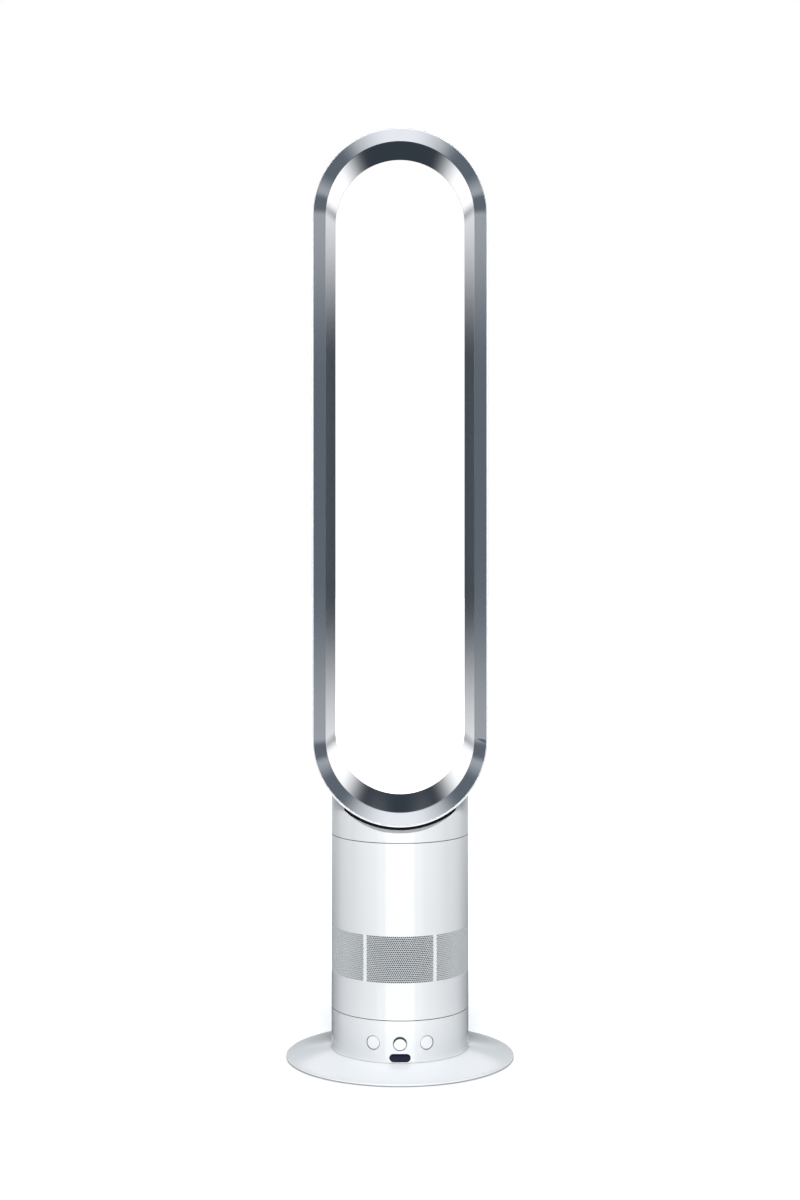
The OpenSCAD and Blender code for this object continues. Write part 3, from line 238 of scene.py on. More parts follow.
def mix(tree, factor, a, b):
    """A blend of two colours; the numbers are those of the mix node's colour sockets."""
    made = tree.nodes.new("ShaderNodeMix")
    made.data_type = "RGBA"
    for number, given in ((0, factor), (6, a), (7, b)):
        feed(tree, made.inputs[number], given)
    return made.outputs[2]


def radius_of(tree, place):
    """The distance of a point from the fan's upright axis."""
    parts = node(tree, "ShaderNodeSeparateXYZ", Vector=place)
    x, y = parts.outputs["X"], parts.outputs["Y"]
    return sums(tree, "SQRT", sums(tree, "ADD", product(tree, x, x), product(tree, y, y)))


def height_of(tree, place):
    return node(tree, "ShaderNodeSeparateXYZ", Vector=place).outputs["Z"]


def distance(tree, place, point):
    return node(tree, "ShaderNodeVectorMath", {"operation": "DISTANCE"}, i0=place, i1=point).outputs["Value"]


def mottling_group():
    """Fine and broad unevenness of a moulding's colour and gloss."""
    tree, given, result = group(
        "mould_mottling",
        [("Vector", "vector", None), ("Color", "colour", (0.8, 0.8, 0.8, 1)), ("Roughness", "value", 0.3),
         ("Amount", "value", 0.04), ("Scale", "value", 60.0)],
        [("Color", "colour"), ("Roughness", "value")])
    broad = node(tree, "ShaderNodeTexNoise", {"noise_dimensions": "3D"}, Vector=given.outputs["Vector"],
                 Scale=given.outputs["Scale"], Detail=3.0)
    fine = node(tree, "ShaderNodeTexNoise", {"noise_dimensions": "3D"}, Vector=given.outputs["Vector"],
                Scale=product(tree, given.outputs["Scale"], 14.0), Detail=2.0)
    both = sums(tree, "ADD", product(tree, broad.outputs["Fac"], 0.65), product(tree, fine.outputs["Fac"], 0.35))
    swing = product(tree, sums(tree, "SUBTRACT", both, 0.5), given.outputs["Amount"])
    darker = node(tree, "ShaderNodeHueSaturation", Color=given.outputs["Color"],
                  Value=sums(tree, "ADD", 1.0, swing))
    tree.links.new(darker.outputs["Color"], result.inputs["Color"])
    tree.links.new(sums(tree, "ADD", given.outputs["Roughness"], product(tree, swing, 0.6)),
                   result.inputs["Roughness"])
    return tree


def grain_group():
    """The height of a moulded or cast skin."""
    tree, given, result = group(
        "skin_grain", [("Vector", "vector", None), ("Scale", "value", 900.0), ("Pits", "value", 0.0)],
        [("Height", "value")])
    skin = node(tree, "ShaderNodeTexNoise", {"noise_dimensions": "3D"}, Vector=given.outputs["Vector"],
                Scale=given.outputs["Scale"], Detail=3.0, Roughness=0.55)
    cells = node(tree, "ShaderNodeTexVoronoi", {"feature": "F1"}, Vector=given.outputs["Vector"],
                 Scale=product(tree, given.outputs["Scale"], 0.6))
    pits = product(tree, ramp(tree, cells.outputs["Distance"], 0.0, 0.35), given.outputs["Pits"])
    tree.links.new(sums(tree, "ADD", skin.outputs["Fac"], pits), result.inputs["Height"])
    return tree


def dust_group():
    """A thin layer of dust on faces that look up, thicker in patches."""
    tree, given, result = group(
        "settled_dust",
        [("Vector", "vector", None), ("Normal", "vector", None), ("Color", "colour", (0.8, 0.8, 0.8, 1)),
         ("Roughness", "value", 0.3), ("Amount", "value", 0.1)],
        [("Color", "colour"), ("Roughness", "value"), ("Mask", "value")])
    up = node(tree, "ShaderNodeSeparateXYZ", Vector=given.outputs["Normal"]).outputs["Z"]
    patches = node(tree, "ShaderNodeTexNoise", {"noise_dimensions": "3D"}, Vector=given.outputs["Vector"],
                   Scale=38.0, Detail=5.0, Roughness=0.65)
    mask = product(tree, ramp(tree, up, 0.55, 0.98), ramp(tree, patches.outputs["Fac"], 0.35, 0.75),
                   given.outputs["Amount"])
    tree.links.new(mix(tree, mask, given.outputs["Color"], DUST_GREY), result.inputs["Color"])
    tree.links.new(sums(tree, "ADD", given.outputs["Roughness"], product(tree, mask, 0.5)),
                   result.inputs["Roughness"])
    tree.links.new(mask, result.inputs["Mask"])
    return tree


def turned_group():
    """Fine turning lines round the upright axis, as on plated and machined pieces."""
    tree, given, result = group(
        "turning_lines", [("Vector", "vector", None), ("Scale", "value", 2400.0)], [("Height", "value")])
    place = given.outputs["Vector"]
    line = node(tree, "ShaderNodeCombineXYZ", X=radius_of(tree, place), Y=0.0, Z=height_of(tree, place))
    lines = node(tree, "ShaderNodeTexNoise", {"noise_dimensions": "3D"}, Vector=line.outputs["Vector"],
                 Scale=given.outputs["Scale"], Detail=2.0)
    tree.links.new(lines.outputs["Fac"], result.inputs["Height"])
    return tree


GROUPS = {}


def shared(name):
    makers = {"mottling": mottling_group, "grain": grain_group, "dust": dust_group, "turned": turned_group}
    if name not in GROUPS:
        GROUPS[name] = makers[name]()
    return GROUPS[name]


def use(tree, name, **links):
    """A node of one of the shared groups."""
    made = tree.nodes.new("ShaderNodeGroup")
    made.node_tree = shared(name)
    for key, value in links.items():
        feed(tree, made.inputs[key], value)
    return made


def finish(name, base, rough, metal=0.0, coat=0.0, mottle=0.03, mottle_scale=60.0, grain=900.0, pits=0.0,
           bump=0.00002, dust=0.0, turned=False, tone_and_painted_light=None, sheen=0.0, gloss=0.5):
    """A material: its colour and gloss go through the mottling and dust groups, its skin through a bump."""
    made = bpy.data.materials.new(name)
    made.use_nodes = True
    tree = made.node_tree
    shader = tree.nodes["Principled BSDF"]
    place = tree.nodes.new("ShaderNodeTexCoord").outputs["Object"]
    start = (*base, 1.0)
    # The function given adds to the colour: the grille's own grey, the lens's painted reflection, the casings'
    # painted shade
    if tone_and_painted_light:
        start = tone_and_painted_light(tree, place, start)
    uneven = use(tree, "mottling", Vector=place, Color=start, Roughness=rough, Amount=mottle, Scale=mottle_scale)
    colour_out, rough_out = uneven.outputs["Color"], uneven.outputs["Roughness"]
    if dust:
        facing = tree.nodes.new("ShaderNodeNewGeometry").outputs["Normal"]
        dusty = use(tree, "dust", Vector=place, Normal=facing, Color=colour_out, Roughness=rough_out, Amount=dust)
        colour_out, rough_out = dusty.outputs["Color"], dusty.outputs["Roughness"]
    skin = (use(tree, "turned", Vector=place, Scale=grain) if turned
            else use(tree, "grain", Vector=place, Scale=grain, Pits=pits))
    relief = node(tree, "ShaderNodeBump", Height=skin.outputs["Height"], Distance=bump, Strength=0.6)
    tree.links.new(colour_out, shader.inputs["Base Color"])
    tree.links.new(rough_out, shader.inputs["Roughness"])
    tree.links.new(relief.outputs["Normal"], shader.inputs["Normal"])
    shader.inputs["Metallic"].default_value = metal
    shader.inputs["Coat Weight"].default_value = coat
    shader.inputs["Coat Roughness"].default_value = 0.03
    shader.inputs["Sheen Weight"].default_value = sheen
    shader.inputs["Specular IOR Level"].default_value = gloss
    return made


def painted_shade_inside(tree, place, start):
    """Painted shade: a casing's inside and the gaps at its ends are darkened, so that holes and seams look deep.
    """
    inside = ramp(tree, radius_of(tree, place), INSIDE_R, SKIN_R, 1.0, 0.0)
    return mix(tree, inside, start, INSIDE_SHADE)


def shade_under_collar(tree, place, start):
    """Painted shade in the gap under the collar; its saddle stays white."""
    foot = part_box("collar")[0].z
    low = ramp(tree, height_of(tree, place), foot + 0.0012, foot + 0.0016, 1.0, 0.0)
    return mix(tree, low, start, painted_shade_inside(tree, place, start))


def controls_painted_shade(tree, place, start):
    """The shade above the plate, and the shaded edge of each button's hole."""
    # Painted shade: the lower casing darkens towards the plate
    start = mix(tree, ramp(tree, height_of(tree, place), 0.014, 0.056, 0.4, 0.0), start, PLATE_SHADE)
    start = painted_shade_inside(tree, place, start)
    low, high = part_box("power_button")
    for angle in (-BUTTON_STEP, 0.0, BUTTON_STEP):
        centre = (BODY_R * math.sin(angle), -BODY_R * math.cos(angle), (low.z + high.z) / 2)
        away = distance(tree, place, centre)
        # Painted shade: a grey ring round each button's hole stands for the shade in its gap
        gap_shade = ramp(tree, away, BUTTON_R + 0.0005, BUTTON_R + 0.0008, 1.0, 0.0)
        start = mix(tree, gap_shade, start, RING_SHADE)
    return start


def dish_shade(tree, place, start):
    """The shade under the upper edge of the middle button's dish."""
    low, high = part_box("power_button")
    middle = (low.z + high.z) / 2
    parts = node(tree, "ShaderNodeSeparateXYZ", Vector=place)
    flat = node(tree, "ShaderNodeCombineXYZ", X=parts.outputs["X"], Y=0.0, Z=parts.outputs["Z"])
    away = distance(tree, flat.outputs["Vector"], (0.0, 0.0, middle - 0.0013))
    shade = product(tree, ramp(tree, away, 0.86 * BUTTON_R, 0.91 * BUTTON_R),
                    ramp(tree, parts.outputs["Z"], middle - 0.5 * BUTTON_R, middle + 0.5 * BUTTON_R))
    return mix(tree, shade, start, DISH_SHADOW)


def panel_grey(tree, place, start):
    """The perforated panels are greyer than the plain bars between them."""
    parts = node(tree, "ShaderNodeSeparateXYZ", Vector=place)
    half = math.pi / bpy.context.scene.fan_grille.panels
    back = product(tree, parts.outputs["Y"], -1.0)
    angle = sums(tree, "ADD", sums(tree, "ARCTAN2", parts.outputs["X"], back), 2 * math.pi)
    away = sums(tree, "PINGPONG", angle, half)
    return mix(tree, ramp(tree, away, 0.945 * half, 0.955 * half, 1.0, 0.0), start, PANEL_GREY)


def painted_lens_reflection(tree, place, start):
    """Painted reflection: a blue glint along the window's upper edge."""
    edge = bpy.context.scene.fan_finishes.lens_reflection
    low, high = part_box("window")
    up = ramp(tree, height_of(tree, place), low.z + 0.6 * (high.z - low.z), high.z - 0.0008)
    return mix(tree, up, start, (*edge, 1.0))


def gloss_white(name, tone_and_painted_light=None):
    """The glossy white of the casings; the function given adds one casing's painted shade."""
    return finish(name, bpy.context.scene.fan_finishes.white, 0.17, coat=1.0, mottle=0.012, dust=0.03, grain=500.0,
                  bump=0.000004, gloss=0.0, tone_and_painted_light=tone_and_painted_light)


def finish_table():
    """The finish of each of the record's material slots."""
    f = bpy.context.scene.fan_finishes
    return {
        "white_casing": lambda: gloss_white("gloss_white"),
        "white_grille": lambda: finish("gloss_white_grille", f.grille, 0.4, mottle=0.015,
                                       grain=700.0, bump=0.000006, gloss=0.15, tone_and_painted_light=panel_grey),
        "silver_paint": lambda: finish("silver_paint", f.silver, 0.07, metal=1.0, coat=0.2, mottle=0.04,
                                       mottle_scale=90.0, grain=5200.0, bump=0.000001),
        "inner_plastic": lambda: finish("inner_grey", f.inner, 0.5, mottle=0.06, grain=1400.0, bump=0.00004),
        "gear_plastic": lambda: finish("gear_plastic", f.gear, 0.42, mottle=0.05, mottle_scale=110.0,
                                       grain=1600.0, bump=0.00003),
        "black_lens": lambda: finish("tinted_lens", f.lens, 0.3, mottle=0.02, grain=400.0, bump=0.000002,
                                     gloss=0.03, tone_and_painted_light=painted_lens_reflection),
        "black_plastic": lambda: finish("black_moulding", f.black, 0.42, mottle=0.08, grain=1800.0, bump=0.00004,
                                        dust=0.15),
        "steel": lambda: finish("plated_steel", f.steel, 0.3, metal=1.0, mottle=0.08, mottle_scale=300.0,
                                turned=True, bump=0.00001),
        "cast_ballast": lambda: finish("raw_casting", f.iron, 0.75, metal=0.6, mottle=0.3, mottle_scale=70.0,
                                       grain=900.0, pits=0.5, bump=0.0002),
        "bronze": lambda: finish("sintered_bronze", f.bronze, 0.42, metal=0.9, mottle=0.15, mottle_scale=400.0,
                                 grain=3200.0, pits=0.6, bump=0.00004),
        "winding": lambda: finish("enamelled_copper", f.copper, 0.32, metal=0.7, mottle=0.25, mottle_scale=500.0,
                                  turned=True, grain=1800.0, bump=0.0001),
        "board_green": lambda: finish("solder_mask", f.board, 0.28, coat=0.4, mottle=0.18, mottle_scale=420.0,
                                      grain=900.0, bump=0.00002),
        "foam": lambda: finish("open_foam", f.foam, 0.95, mottle=0.5, mottle_scale=900.0, grain=1200.0, pits=1.0,
                               bump=0.0006, sheen=0.2),
        "rubber": lambda: finish("soft_rubber", f.rubber, 0.7, mottle=0.12, grain=1300.0, bump=0.00005,
                                 sheen=0.05),
    }


MADE = {}


def finish_for(slot):
    """The material of a slot, made once."""
    if slot not in MADE:
        MADE[slot] = finish_table()[slot]()
    return MADE[slot]


# Mesh helpers


class Pen:
    """Draws a profile as a chain of edges: straight runs by extrusion and arcs by spinning the last point."""

    def __init__(self, bm, start):
        self.bm = bm
        self.first = self.last = bm.verts.new(start)

    def line(self, to):
        made = bmesh.ops.extrude_vert_indiv(self.bm, verts=[self.last])
        self.last = made["verts"][0]
        self.last.co = to
        return self.last

    def arc(self, centre, turn, steps, depth_share=1.0):
        """Turns about a centre in the plane of X and Y, then stretches the arc's depth."""
        before = set(self.bm.verts)
        made = bmesh.ops.spin(self.bm, geom=[self.last], cent=centre, axis=(0, 0, 1), angle=turn, steps=steps,
                              use_merge=False, use_duplicate=False)
        fresh = [v for v in self.bm.verts if v not in before]
        bmesh.ops.scale(self.bm, vec=(1, depth_share, 1), space=Matrix.Translation(-Vector(centre)), verts=fresh)
        self.last = [v for v in made["geom_last"] if isinstance(v, bmesh.types.BMVert)][0]
        return fresh

    def close(self):
        self.bm.edges.new((self.last, self.first))


def round_corners(bm, corners, offset, segments=4):
    bmesh.ops.bevel(bm, geom=corners, offset=offset, offset_type="OFFSET", segments=segments, profile=0.5,
                    affect="VERTICES", material=-1)


def last_edges(made, key):
    """The edges in one list of an operator's outcome."""
    return [e for e in made[key] if isinstance(e, bmesh.types.BMEdge)]


def round_the_loop(bm, sizes):
    """Sweeps the profile at +X up the side, over the top, down the other side and under."""
    edges = list(bm.edges)
    for centre, climb in ((sizes.high, sizes.high - sizes.low), (sizes.low, sizes.low - sizes.high)):
        run = bmesh.ops.extrude_edge_only(bm, edges=edges)
        points = [v for v in run["geom"] if isinstance(v, bmesh.types.BMVert)]
        bmesh.ops.translate(bm, vec=(0, 0, climb), verts=points)
        turned = bmesh.ops.spin(bm, geom=last_edges(run, "geom"), cent=(0, 0, centre), axis=(0, -1, 0),
                                angle=math.pi, steps=sizes.steps, use_merge=False, use_duplicate=False)
        edges = last_edges(turned, "geom_last")
    bmesh.ops.remove_doubles(bm, verts=bm.verts, dist=1e-6)
    bmesh.ops.recalc_face_normals(bm, faces=bm.faces)


def carve(target, cutter):
    """Takes the cutter's volume out of the target, and removes the cutter."""
    cut = target.modifiers.new("cut", "BOOLEAN")
    cut.operation, cut.solver, cut.object = "DIFFERENCE", "EXACT", cutter
    graph = bpy.context.evaluated_depsgraph_get()
    carved = bpy.data.meshes.new_from_object(target.evaluated_get(graph))
    target.modifiers.remove(cut)
    target.data = carved
    bpy.data.objects.remove(cutter)


def piece(name, bm, body=None, slot=None, stands_for=(), sharp=SHARP):
    """Turns a bmesh into a finished piece that rides on a body and takes a slot's finish."""
    mesh = bpy.data.meshes.new(name)
    bm.to_mesh(mesh)
    bm.free()
    made = bpy.data.objects.new(name, mesh)
    bpy.context.scene.collection.objects.link(made)
    dress(made, sharp)
    if slot:
        made.data.materials.append(finish_for(slot))
    if body:
        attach(made, body)
    if stands_for:
        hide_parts(*stands_for)
    return made


def dress(made, sharp):
    """Shades a piece smoothly, with sharp edges where its faces turn by more than an angle."""
    made.data.shade_smooth()
    made.data.set_sharp_from_angle(angle=sharp)


def level_shading(made):
    """Lets broad faces shade flat and their rounded edges blend in."""
    even = made.modifiers.new("even_shading", "WEIGHTED_NORMAL")
    even.mode, even.weight, even.keep_sharp = "FACE_AREA", 100, True


class Undoable:
    bl_options = {"REGISTER", "UNDO"}


# Operators, one for each piece or group of like pieces


class FAN_OT_outer_casing(Undoable, bpy.types.Operator):
    """Make the loop's white outer casing, with its rim, round back and the lip of the outlet slot"""

    bl_idname = "fan.outer_casing"
    bl_label = "Outer casing of the loop"
    NOSE_STEPS, HOLLOW_STEPS = 44, 24

    def execute(self, context):
        s = context.scene.fan_loop
        half = (s.radius - s.throat) / 2
        mid, nose_y = s.radius - half, s.back - s.nose
        seat, rim_front = -s.front + s.seat, -s.front + s.rim_step
        bm = bmesh.new()
        pen = Pen(bm, (s.radius - s.rim, seat, s.low))
        corners = [pen.line((s.radius - s.rim, rim_front, s.low)), pen.line((s.radius, rim_front, s.low))]
        pen.line((s.radius, nose_y, s.low))
        pen.arc((mid, nose_y, s.low), math.pi, self.NOSE_STEPS, s.nose / half)
        lip = [pen.last, pen.line((s.throat + s.lip, nose_y, s.low))]
        inner_half = (s.radius - s.wall - s.throat - s.lip) / 2
        pen.arc((s.throat + s.lip + inner_half, nose_y, s.low), -math.pi, self.HOLLOW_STEPS,
                (s.nose - s.wall) / inner_half)
        pen.line((s.radius - s.wall, seat, s.low))
        pen.close()
        round_corners(bm, corners, s.edge_round, 4)
        round_corners(bm, lip, s.lip_round, 3)
        round_the_loop(bm, s)
        made = piece("loop_outer_casing", bm)
        way = bmesh.new()
        bmesh.ops.create_cone(way, cap_ends=True, segments=96, radius1=s.neck, radius2=s.neck, depth=0.06,
                              matrix=Matrix.Translation((0, 0, s.low - s.radius)))
        carve(made, piece("neck_way", way))
        dress(made, SHARP)
        made.data.materials.append(finish_for("white_casing"))
        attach(made, "turret")
        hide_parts("nozzle_outer")
        level_shading(made)
        return {"FINISHED"}


class FAN_OT_inner_casing(Undoable, bpy.types.Operator):
    """Make the loop's silver inner casing: front bevel, ridge and the wall that the air follows"""

    bl_idname = "fan.inner_casing"
    bl_label = "Inner casing of the loop"
    TAIL_STEPS, HOOK_STEPS = 14, 8
    # The hook at the tail's end has the tail's radius less this share
    HOOK_SHARE = 0.35

    def execute(self, context):
        s = context.scene.fan_loop
        rim, ridge_y = s.radius - s.rim - s.rim_gap, s.bevel_depth - s.front
        bm = bmesh.new()
        pen = Pen(bm, (rim, -s.front + s.seat, s.low))
        edge = pen.line((rim, -s.front, s.low))
        ridge = pen.line((s.ridge, ridge_y, s.low))
        lean = math.atan2(s.ridge - s.crest, s.crest_y - ridge_y)
        turn = Vector((s.crest + s.tail, s.crest_y, s.low))
        pen.line(turn - s.tail * Vector((math.cos(lean), math.sin(lean), 0)))
        pen.arc(turn, -math.pi / 4 - lean, self.TAIL_STEPS)
        pen.arc(pen.last.co.lerp(turn, self.HOOK_SHARE), -math.pi / 4, self.HOOK_STEPS)
        round_corners(bm, [edge], s.edge_round, 4)
        round_corners(bm, [ridge], s.ridge_round, 5)
        round_the_loop(bm, s)
        side = min(bm.faces, key=lambda f: (f.calc_center_median() - Vector((s.ridge, 0, s.low + 0.2))).length)
        if side.normal.x > 0:
            bmesh.ops.reverse_faces(bm, faces=bm.faces)
        made = piece("loop_inner_casing", bm, "turret", "silver_paint", ["nozzle_inner"], SHARP_SILVER)
        thick = made.modifiers.new("wall", "SOLIDIFY")
        thick.thickness, thick.offset, thick.use_even_offset = s.inner_wall, -1.0, True
        level_shading(made)
        return {"FINISHED"}


class FAN_OT_slot_spacers(Undoable, bpy.types.Operator):
    """Make the spacers that hold the width of the outlet slot along both sides of the loop"""

    bl_idname = "fan.slot_spacers"
    bl_label = "Spacers of the outlet slot"

    def execute(self, context):
        s = context.scene.fan_loop
        outer = s.throat + s.lip
        bm = bmesh.new()
        for side in (-1, 1):
            for i in range(s.spacers):
                up = s.low + (i + 0.5) * (s.high - s.low) / s.spacers
                made = bmesh.ops.create_cube(bm, size=1.0)["verts"]
                bmesh.ops.scale(bm, vec=(s.slot, s.spacer_depth, s.spacer_height), verts=made)
                place = (side * (outer + s.slot / 2), s.back - s.nose + s.spacer_in, up)
                bmesh.ops.translate(bm, vec=place, verts=made)
        piece("outlet_spacers", bm, "turret", "silver_paint", ["slot_spacers"])
        return {"FINISHED"}


class FAN_OT_grille(Undoable, bpy.types.Operator):
    """Make the perforated sleeve, one piece for each panel of staggered holes"""

    bl_idname = "fan.grille"
    bl_label = "Perforated air inlet"
    CORNERS = 10

    def execute(self, context):
        s = context.scene.fan_grille
        turn = 2 * math.pi / s.panels
        pitch = turn / (s.columns + 2) * s.radius
        row = (s.high - s.low) / s.rows
        bm = bmesh.new()
        sheet = self.cell(bm, pitch, row, s.hole / 2, self.CORNERS)
        self.repeat(bm, sheet, s.columns, (pitch, 0, 0))
        across = s.columns * pitch
        first = self.row_with_ends(bm, pitch, row, across)
        for j in range(1, s.rows):
            made = bmesh.ops.duplicate(bm, geom=first)
            points = [v for v in made["geom"] if isinstance(v, bmesh.types.BMVert)]
            if j % 2:
                bmesh.ops.scale(bm, vec=(-1, 1, 1), verts=points)
                bmesh.ops.reverse_faces(bm, faces=[f for f in made["geom"] if isinstance(f, bmesh.types.BMFace)])
            bmesh.ops.translate(bm, vec=(0, 0, j * row), verts=points)
        bmesh.ops.remove_doubles(bm, verts=bm.verts, dist=1e-6)
        bmesh.ops.solidify(bm, geom=bm.faces[:], thickness=s.wall)
        self.wrap(bm, s)
        bmesh.ops.recalc_face_normals(bm, faces=bm.faces)
        for i in range(s.panels):
            one = bm.copy()
            bmesh.ops.rotate(one, cent=(0, 0, 0), matrix=Matrix.Rotation(i * turn, 3, "Z"), verts=one.verts)
            piece(f"grille_panel_{i + 1}", one, "turret", "white_grille",
                  ["inlet_grille"] if i == 0 else [], SHARP_GRILLE)
        bm.free()
        return {"FINISHED"}

    @staticmethod
    def cell(bm, pitch, row, hole, corners):
        """One flat cell with its hole, a polygon of that many corners, in the plane of X and Z."""
        upright = Matrix.Rotation(math.pi / 2, 4, "X")
        bmesh.ops.create_grid(bm, x_segments=corners // 2 - 1, y_segments=1, size=0.5, matrix=upright)
        bmesh.ops.scale(bm, vec=(pitch, 1, row), verts=bm.verts)
        joined = bmesh.ops.dissolve_faces(bm, faces=bm.faces[:], use_verts=False)["region"]
        bmesh.ops.inset_individual(bm, faces=joined, thickness=row * 0.1)
        middle = min(bm.faces, key=lambda f: abs(len(f.verts) - corners))
        step = 360 / corners
        places = []
        for side in (1, -1):
            row_points = sorted((v for v in middle.verts if v.co.z * side > 0), key=lambda v: v.co.x)
            places += [(v, side * math.radians(180 - step / 2 - step * i)) for i, v in enumerate(row_points)]
        for v, angle in places:
            v.co = (hole * math.cos(angle), v.co.y, hole * math.sin(angle))
        bmesh.ops.delete(bm, geom=[middle], context="FACES_ONLY")
        return bm.verts[:] + bm.edges[:] + bm.faces[:]

    @staticmethod
    def repeat(bm, geom, count, step):
        """Copies a cell until there are that many, each a step further on."""
        for i in range(1, count):
            made = bmesh.ops.duplicate(bm, geom=geom)
            points = [v for v in made["geom"] if isinstance(v, bmesh.types.BMVert)]
            bmesh.ops.translate(bm, vec=Vector(step) * i, verts=points)

    @staticmethod
    def row_with_ends(bm, pitch, row, across):
        """Centres the row a quarter pitch to the left and closes both ends with plain strips."""
        bmesh.ops.translate(bm, vec=(-across / 2 + pitch / 2 - pitch / 4, 0, row / 2), verts=bm.verts)
        upright = Matrix.Rotation(math.pi / 2, 4, "X")
        for side, quarters in ((-1, 3), (1, 5)):
            width = quarters * pitch / 4
            strip = bmesh.ops.create_grid(bm, x_segments=quarters, y_segments=1, size=0.5, matrix=upright)
            bmesh.ops.scale(bm, vec=(width, 1, row), verts=strip["verts"])
            reach = across / 2 + pitch
            bmesh.ops.translate(bm, vec=(side * (reach - width / 2), 0, row / 2), verts=strip["verts"])
        bmesh.ops.remove_doubles(bm, verts=bm.verts, dist=1e-6)
        return bm.verts[:] + bm.edges[:] + bm.faces[:]

    @staticmethod
    def wrap(bm, s):
        """Bends the flat panel round the body's axis, its depth becoming a smaller radius."""
        deep = max(abs(v.co.y) for v in bm.verts)
        for v in bm.verts:
            angle = v.co.x / s.radius
            r = s.radius - (s.wall if abs(v.co.y) > deep / 2 else 0)
            v.co = (r * math.sin(angle), -r * math.cos(angle), s.low + v.co.z)


class FAN_OT_cad_finishes(Undoable, bpy.types.Operator):
    """Give each shown CAD part the finish of its material slot"""

    bl_idname = "fan.cad_finishes"
    bl_label = "Finishes of the CAD parts"

    def execute(self, context):
        for part in frame["record"]["subparts"]:
            made = NODES[part["node"]]
            made.data.materials.clear()
            made.data.materials.append(finish_for(part["material_slot"]))
        # Painted shade on four casings: insides and seam gaps, under the collar, round the buttons, in the middle
        # button's dish
        for name, tone_and_painted_light in (("main_casing", painted_shade_inside), ("collar", shade_under_collar), ("lower_casing", controls_painted_shade),
                           ("power_button", dish_shade)):
            NODES[name].data.materials[0] = gloss_white(f"gloss_white_{name}", tone_and_painted_light)
        # A pad modelled into the slot under the loop; its near-black stands in for the shadow of that gap
        NODES["saddle_pad"].data.materials[0] = finish("slot_shade_pad", PAD_SLOT_SHADE, 0.8, gloss=0.1)
        return {"FINISHED"}


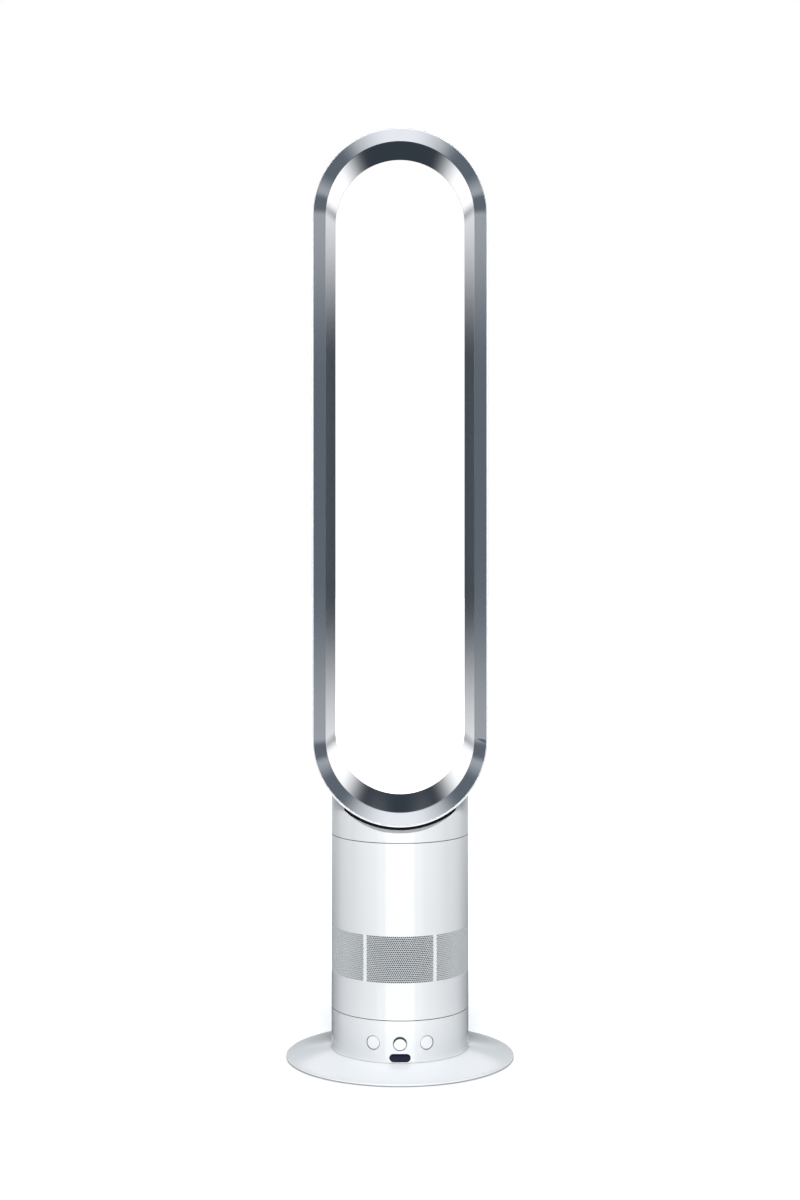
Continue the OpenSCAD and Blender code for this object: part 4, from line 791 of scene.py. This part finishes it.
class FAN_OT_studio(Undoable, bpy.types.Operator):
    """Set up the floor, the lights, the world and the camera"""

    bl_idname = "fan.studio"
    bl_label = "Studio"

    # Width and height of the lamps, and the way to the one behind
    KEY_SIZE, BACK_SIZE, BACK_WAY = (1.3, 1.0), (2.0, 1.2), Vector((0, 0.94, 0.34))
    # The floor's colour as it lights the fan, as the camera sees it, and its glow under the fan
    FLOOR_BOUNCE, FLOOR_SEEN, FLOOR_GLOW = (0.25, 0.25, 0.25, 1), (0.96, 0.96, 0.96, 1), 0.22

    def execute(self, context):
        s = context.scene.fan_studio
        self.floor(s)
        self.world(context, s)
        key_way = Vector((0, -math.cos(s.key_angle), math.sin(s.key_angle)))
        self.lamp(context, "key", key_way, s.key_power, self.KEY_SIZE)
        self.lamp(context, "back", self.BACK_WAY, s.back_power, self.BACK_SIZE)
        eye = bpy.data.cameras.new("camera")
        eye.lens, eye.sensor_width, eye.shift_y = s.lens, 36.0, s.shift
        camera = bpy.data.objects.new("camera", eye)
        camera.location = (0, -s.distance, s.height)
        camera.rotation_euler = (math.pi / 2, 0, 0)
        context.scene.collection.objects.link(camera)
        context.scene.camera = camera
        context.scene.view_settings.view_transform = "Standard"
        return {"FINISHED"}

    def floor(self, s):
        """A white floor: it takes the fan's shadow and glows for the camera alone."""
        bm = bmesh.new()
        bmesh.ops.create_circle(bm, cap_ends=True, segments=64, radius=s.floor_radius)
        mesh = bpy.data.meshes.new("floor")
        bm.to_mesh(mesh)
        bm.free()
        made = bpy.data.objects.new("floor", mesh)
        bpy.context.scene.collection.objects.link(made)
        made.visible_glossy = False
        look = bpy.data.materials.new("floor_white")
        look.use_nodes = True
        tree = look.node_tree
        tree.nodes.clear()
        seen = tree.nodes.new("ShaderNodeLightPath").outputs["Is Camera Ray"]
        out = radius_of(tree, tree.nodes.new("ShaderNodeTexCoord").outputs["Object"])
        shade = node(tree, "ShaderNodeBsdfDiffuse", Color=mix(tree, seen, self.FLOOR_BOUNCE, self.FLOOR_SEEN))
        fading = ramp(tree, out, s.shade_radius, s.clear_radius, self.FLOOR_GLOW, 1.0)
        glow = node(tree, "ShaderNodeEmission", Color=(1, 1, 1, 1), Strength=product(tree, seen, fading))
        both = tree.nodes.new("ShaderNodeAddShader")
        tree.links.new(shade.outputs[0], both.inputs[0])
        tree.links.new(glow.outputs[0], both.inputs[1])
        result = tree.nodes.new("ShaderNodeOutputMaterial")
        tree.links.new(both.outputs[0], result.inputs["Surface"])
        made.data.materials.append(look)

    @staticmethod
    def lamp(context, name, way, power, size):
        """A large soft lamp that looks at the fan's middle, along the given way from it."""
        light = bpy.data.lights.new(name, "AREA")
        light.shape, light.size, light.size_y, light.energy = "RECTANGLE", *size, power
        made = bpy.data.objects.new(name, light)
        made.location = Vector((0, 0, 0.5)) + way * context.scene.fan_studio.lamp_distance
        made.rotation_euler = way.to_track_quat("Z", "Y").to_euler()
        made.visible_glossy = made.visible_camera = False
        context.scene.collection.objects.link(made)

    @staticmethod
    def world(context, s):
        """White for the camera, soft light for shading, and for mirrored rays a dark room with cards of light."""
        made = bpy.data.worlds.new("studio")
        context.scene.world = made
        made.use_nodes = True
        tree = made.node_tree
        tree.nodes.clear()
        way = tree.nodes.new("ShaderNodeTexCoord").outputs["Generated"]
        parts = node(tree, "ShaderNodeSeparateXYZ", Vector=way)
        x = sums(tree, "ABSOLUTE", parts.outputs["X"])
        y, z = parts.outputs["Y"], parts.outputs["Z"]
        tall = sums(tree, "ABSOLUTE", z)
        path = tree.nodes.new("ShaderNodeLightPath")

        def rise(value, low, high):
            return ramp(tree, value, low, high)

        def fall(value, low, high):
            return ramp(tree, value, low, high, 1.0, 0.0)

        ahead, behind = fall(y, -0.05, 0.05), rise(y, -0.05, 0.05)
        below = product(tree, rise(z, -0.34, -0.28), fall(z, -0.07, -0.03))
        sloped = sums(tree, "ADD", z, product(tree, x, 0.5))
        turning = product(tree, rise(x, 0.245, 0.280), fall(x, 0.30, 0.38))
        rising = product(tree, rise(tall, 0.052, 0.158), rise(x, 0.08, 0.20))
        cards = {
            "room ahead": (0.15, ahead, fall(x, 0.965, 0.99)),
            "strips that the body mirrors": (1.2, ahead, below, rise(x, 0.40, 0.44), fall(x, 0.56, 0.66)),
            "sides that the bevel mirrors": (0.31, ahead, rise(x, 0.60, 0.75), rise(tall, 0.05, 0.12),
                                             fall(tall, 0.12, 0.30)),
            "ends that the bevel mirrors": (0.98, ahead, rise(tall, 0.45, 0.62), fall(x, 0.10, 0.74)),
            "window in front": (3.4, ahead, fall(x, 0.395, 0.415), rise(z, -0.60, -0.50), fall(z, 0.35, 0.45)),
            "room behind": (0.04, behind, fall(x, 0.90, 0.99)),
            "sides that the body mirrors": (0.4, behind, rise(x, 0.78, 0.88)),
            "slope that the plate mirrors": (0.6, behind, rise(sloped, 0.37, 0.47)),
            "glow that the loop's inside mirrors": (1.25, behind, sums(tree, "MAXIMUM", turning, rising),
                                                    fall(tall, 0.08, 0.27)),
        }
        total = 0.0
        for card in cards.values():
            total = sums(tree, "ADD", total, product(tree, *card))
        green, blue = ramp(tree, y, -0.05, 0.05, 0.026, 0.012), ramp(tree, y, -0.05, 0.05, 0.06, 0.026)
        shine = node(tree, "ShaderNodeCombineColor", Red=total, Green=sums(tree, "ADD", total, green),
                     Blue=sums(tree, "ADD", total, blue))
        mirrored = sums(tree, "MAXIMUM", path.outputs["Is Glossy Ray"], path.outputs["Is Transmission Ray"])
        lit = mix(tree, mirrored, (*s.ambient, 1.0), shine.outputs["Color"])
        seen = mix(tree, path.outputs["Is Camera Ray"], lit, (1, 1, 1, 1))
        glow = node(tree, "ShaderNodeBackground", Color=seen, Strength=1.0)
        result = tree.nodes.new("ShaderNodeOutputWorld")
        tree.links.new(glow.outputs[0], result.inputs["Surface"])


OPERATORS = (FAN_OT_cad_finishes, FAN_OT_outer_casing, FAN_OT_inner_casing, FAN_OT_slot_spacers,
             FAN_OT_grille, FAN_OT_studio)


class FAN_PT_panel(bpy.types.Panel):
    """The fan's sizes, finishes and makers"""

    bl_idname = "FAN_PT_panel"
    bl_label = "Tower fan"
    bl_space_type = "VIEW_3D"
    bl_region_type = "UI"
    bl_category = "Tower fan"

    def draw(self, context):
        for maker in OPERATORS:
            self.layout.operator(maker.bl_idname)
        for sizes in (context.scene.fan_loop, context.scene.fan_grille, context.scene.fan_finishes,
                      context.scene.fan_studio):
            box = self.layout.box()
            for name in sizes.bl_rna.properties.keys():
                if name not in ("rna_type", "name"):
                    box.prop(sizes, name)


SIZES = {"fan_loop": LoopSizes, "fan_grille": GrilleSizes, "fan_finishes": Finishes, "fan_studio": StudioSizes}
CLASSES = (*SIZES.values(), *OPERATORS, FAN_PT_panel)


def register():
    for made in CLASSES:
        bpy.utils.register_class(made)
    for name, made in SIZES.items():
        setattr(bpy.types.Scene, name, PointerProperty(type=made))


def unregister():
    for name in SIZES:
        delattr(bpy.types.Scene, name)
    for made in reversed(CLASSES):
        bpy.utils.unregister_class(made)


def main():
    register()
    for maker in OPERATORS:
        area, name = maker.bl_idname.split(".")
        getattr(getattr(bpy.ops, area), name)()


if __name__ == "__main__":
    main()
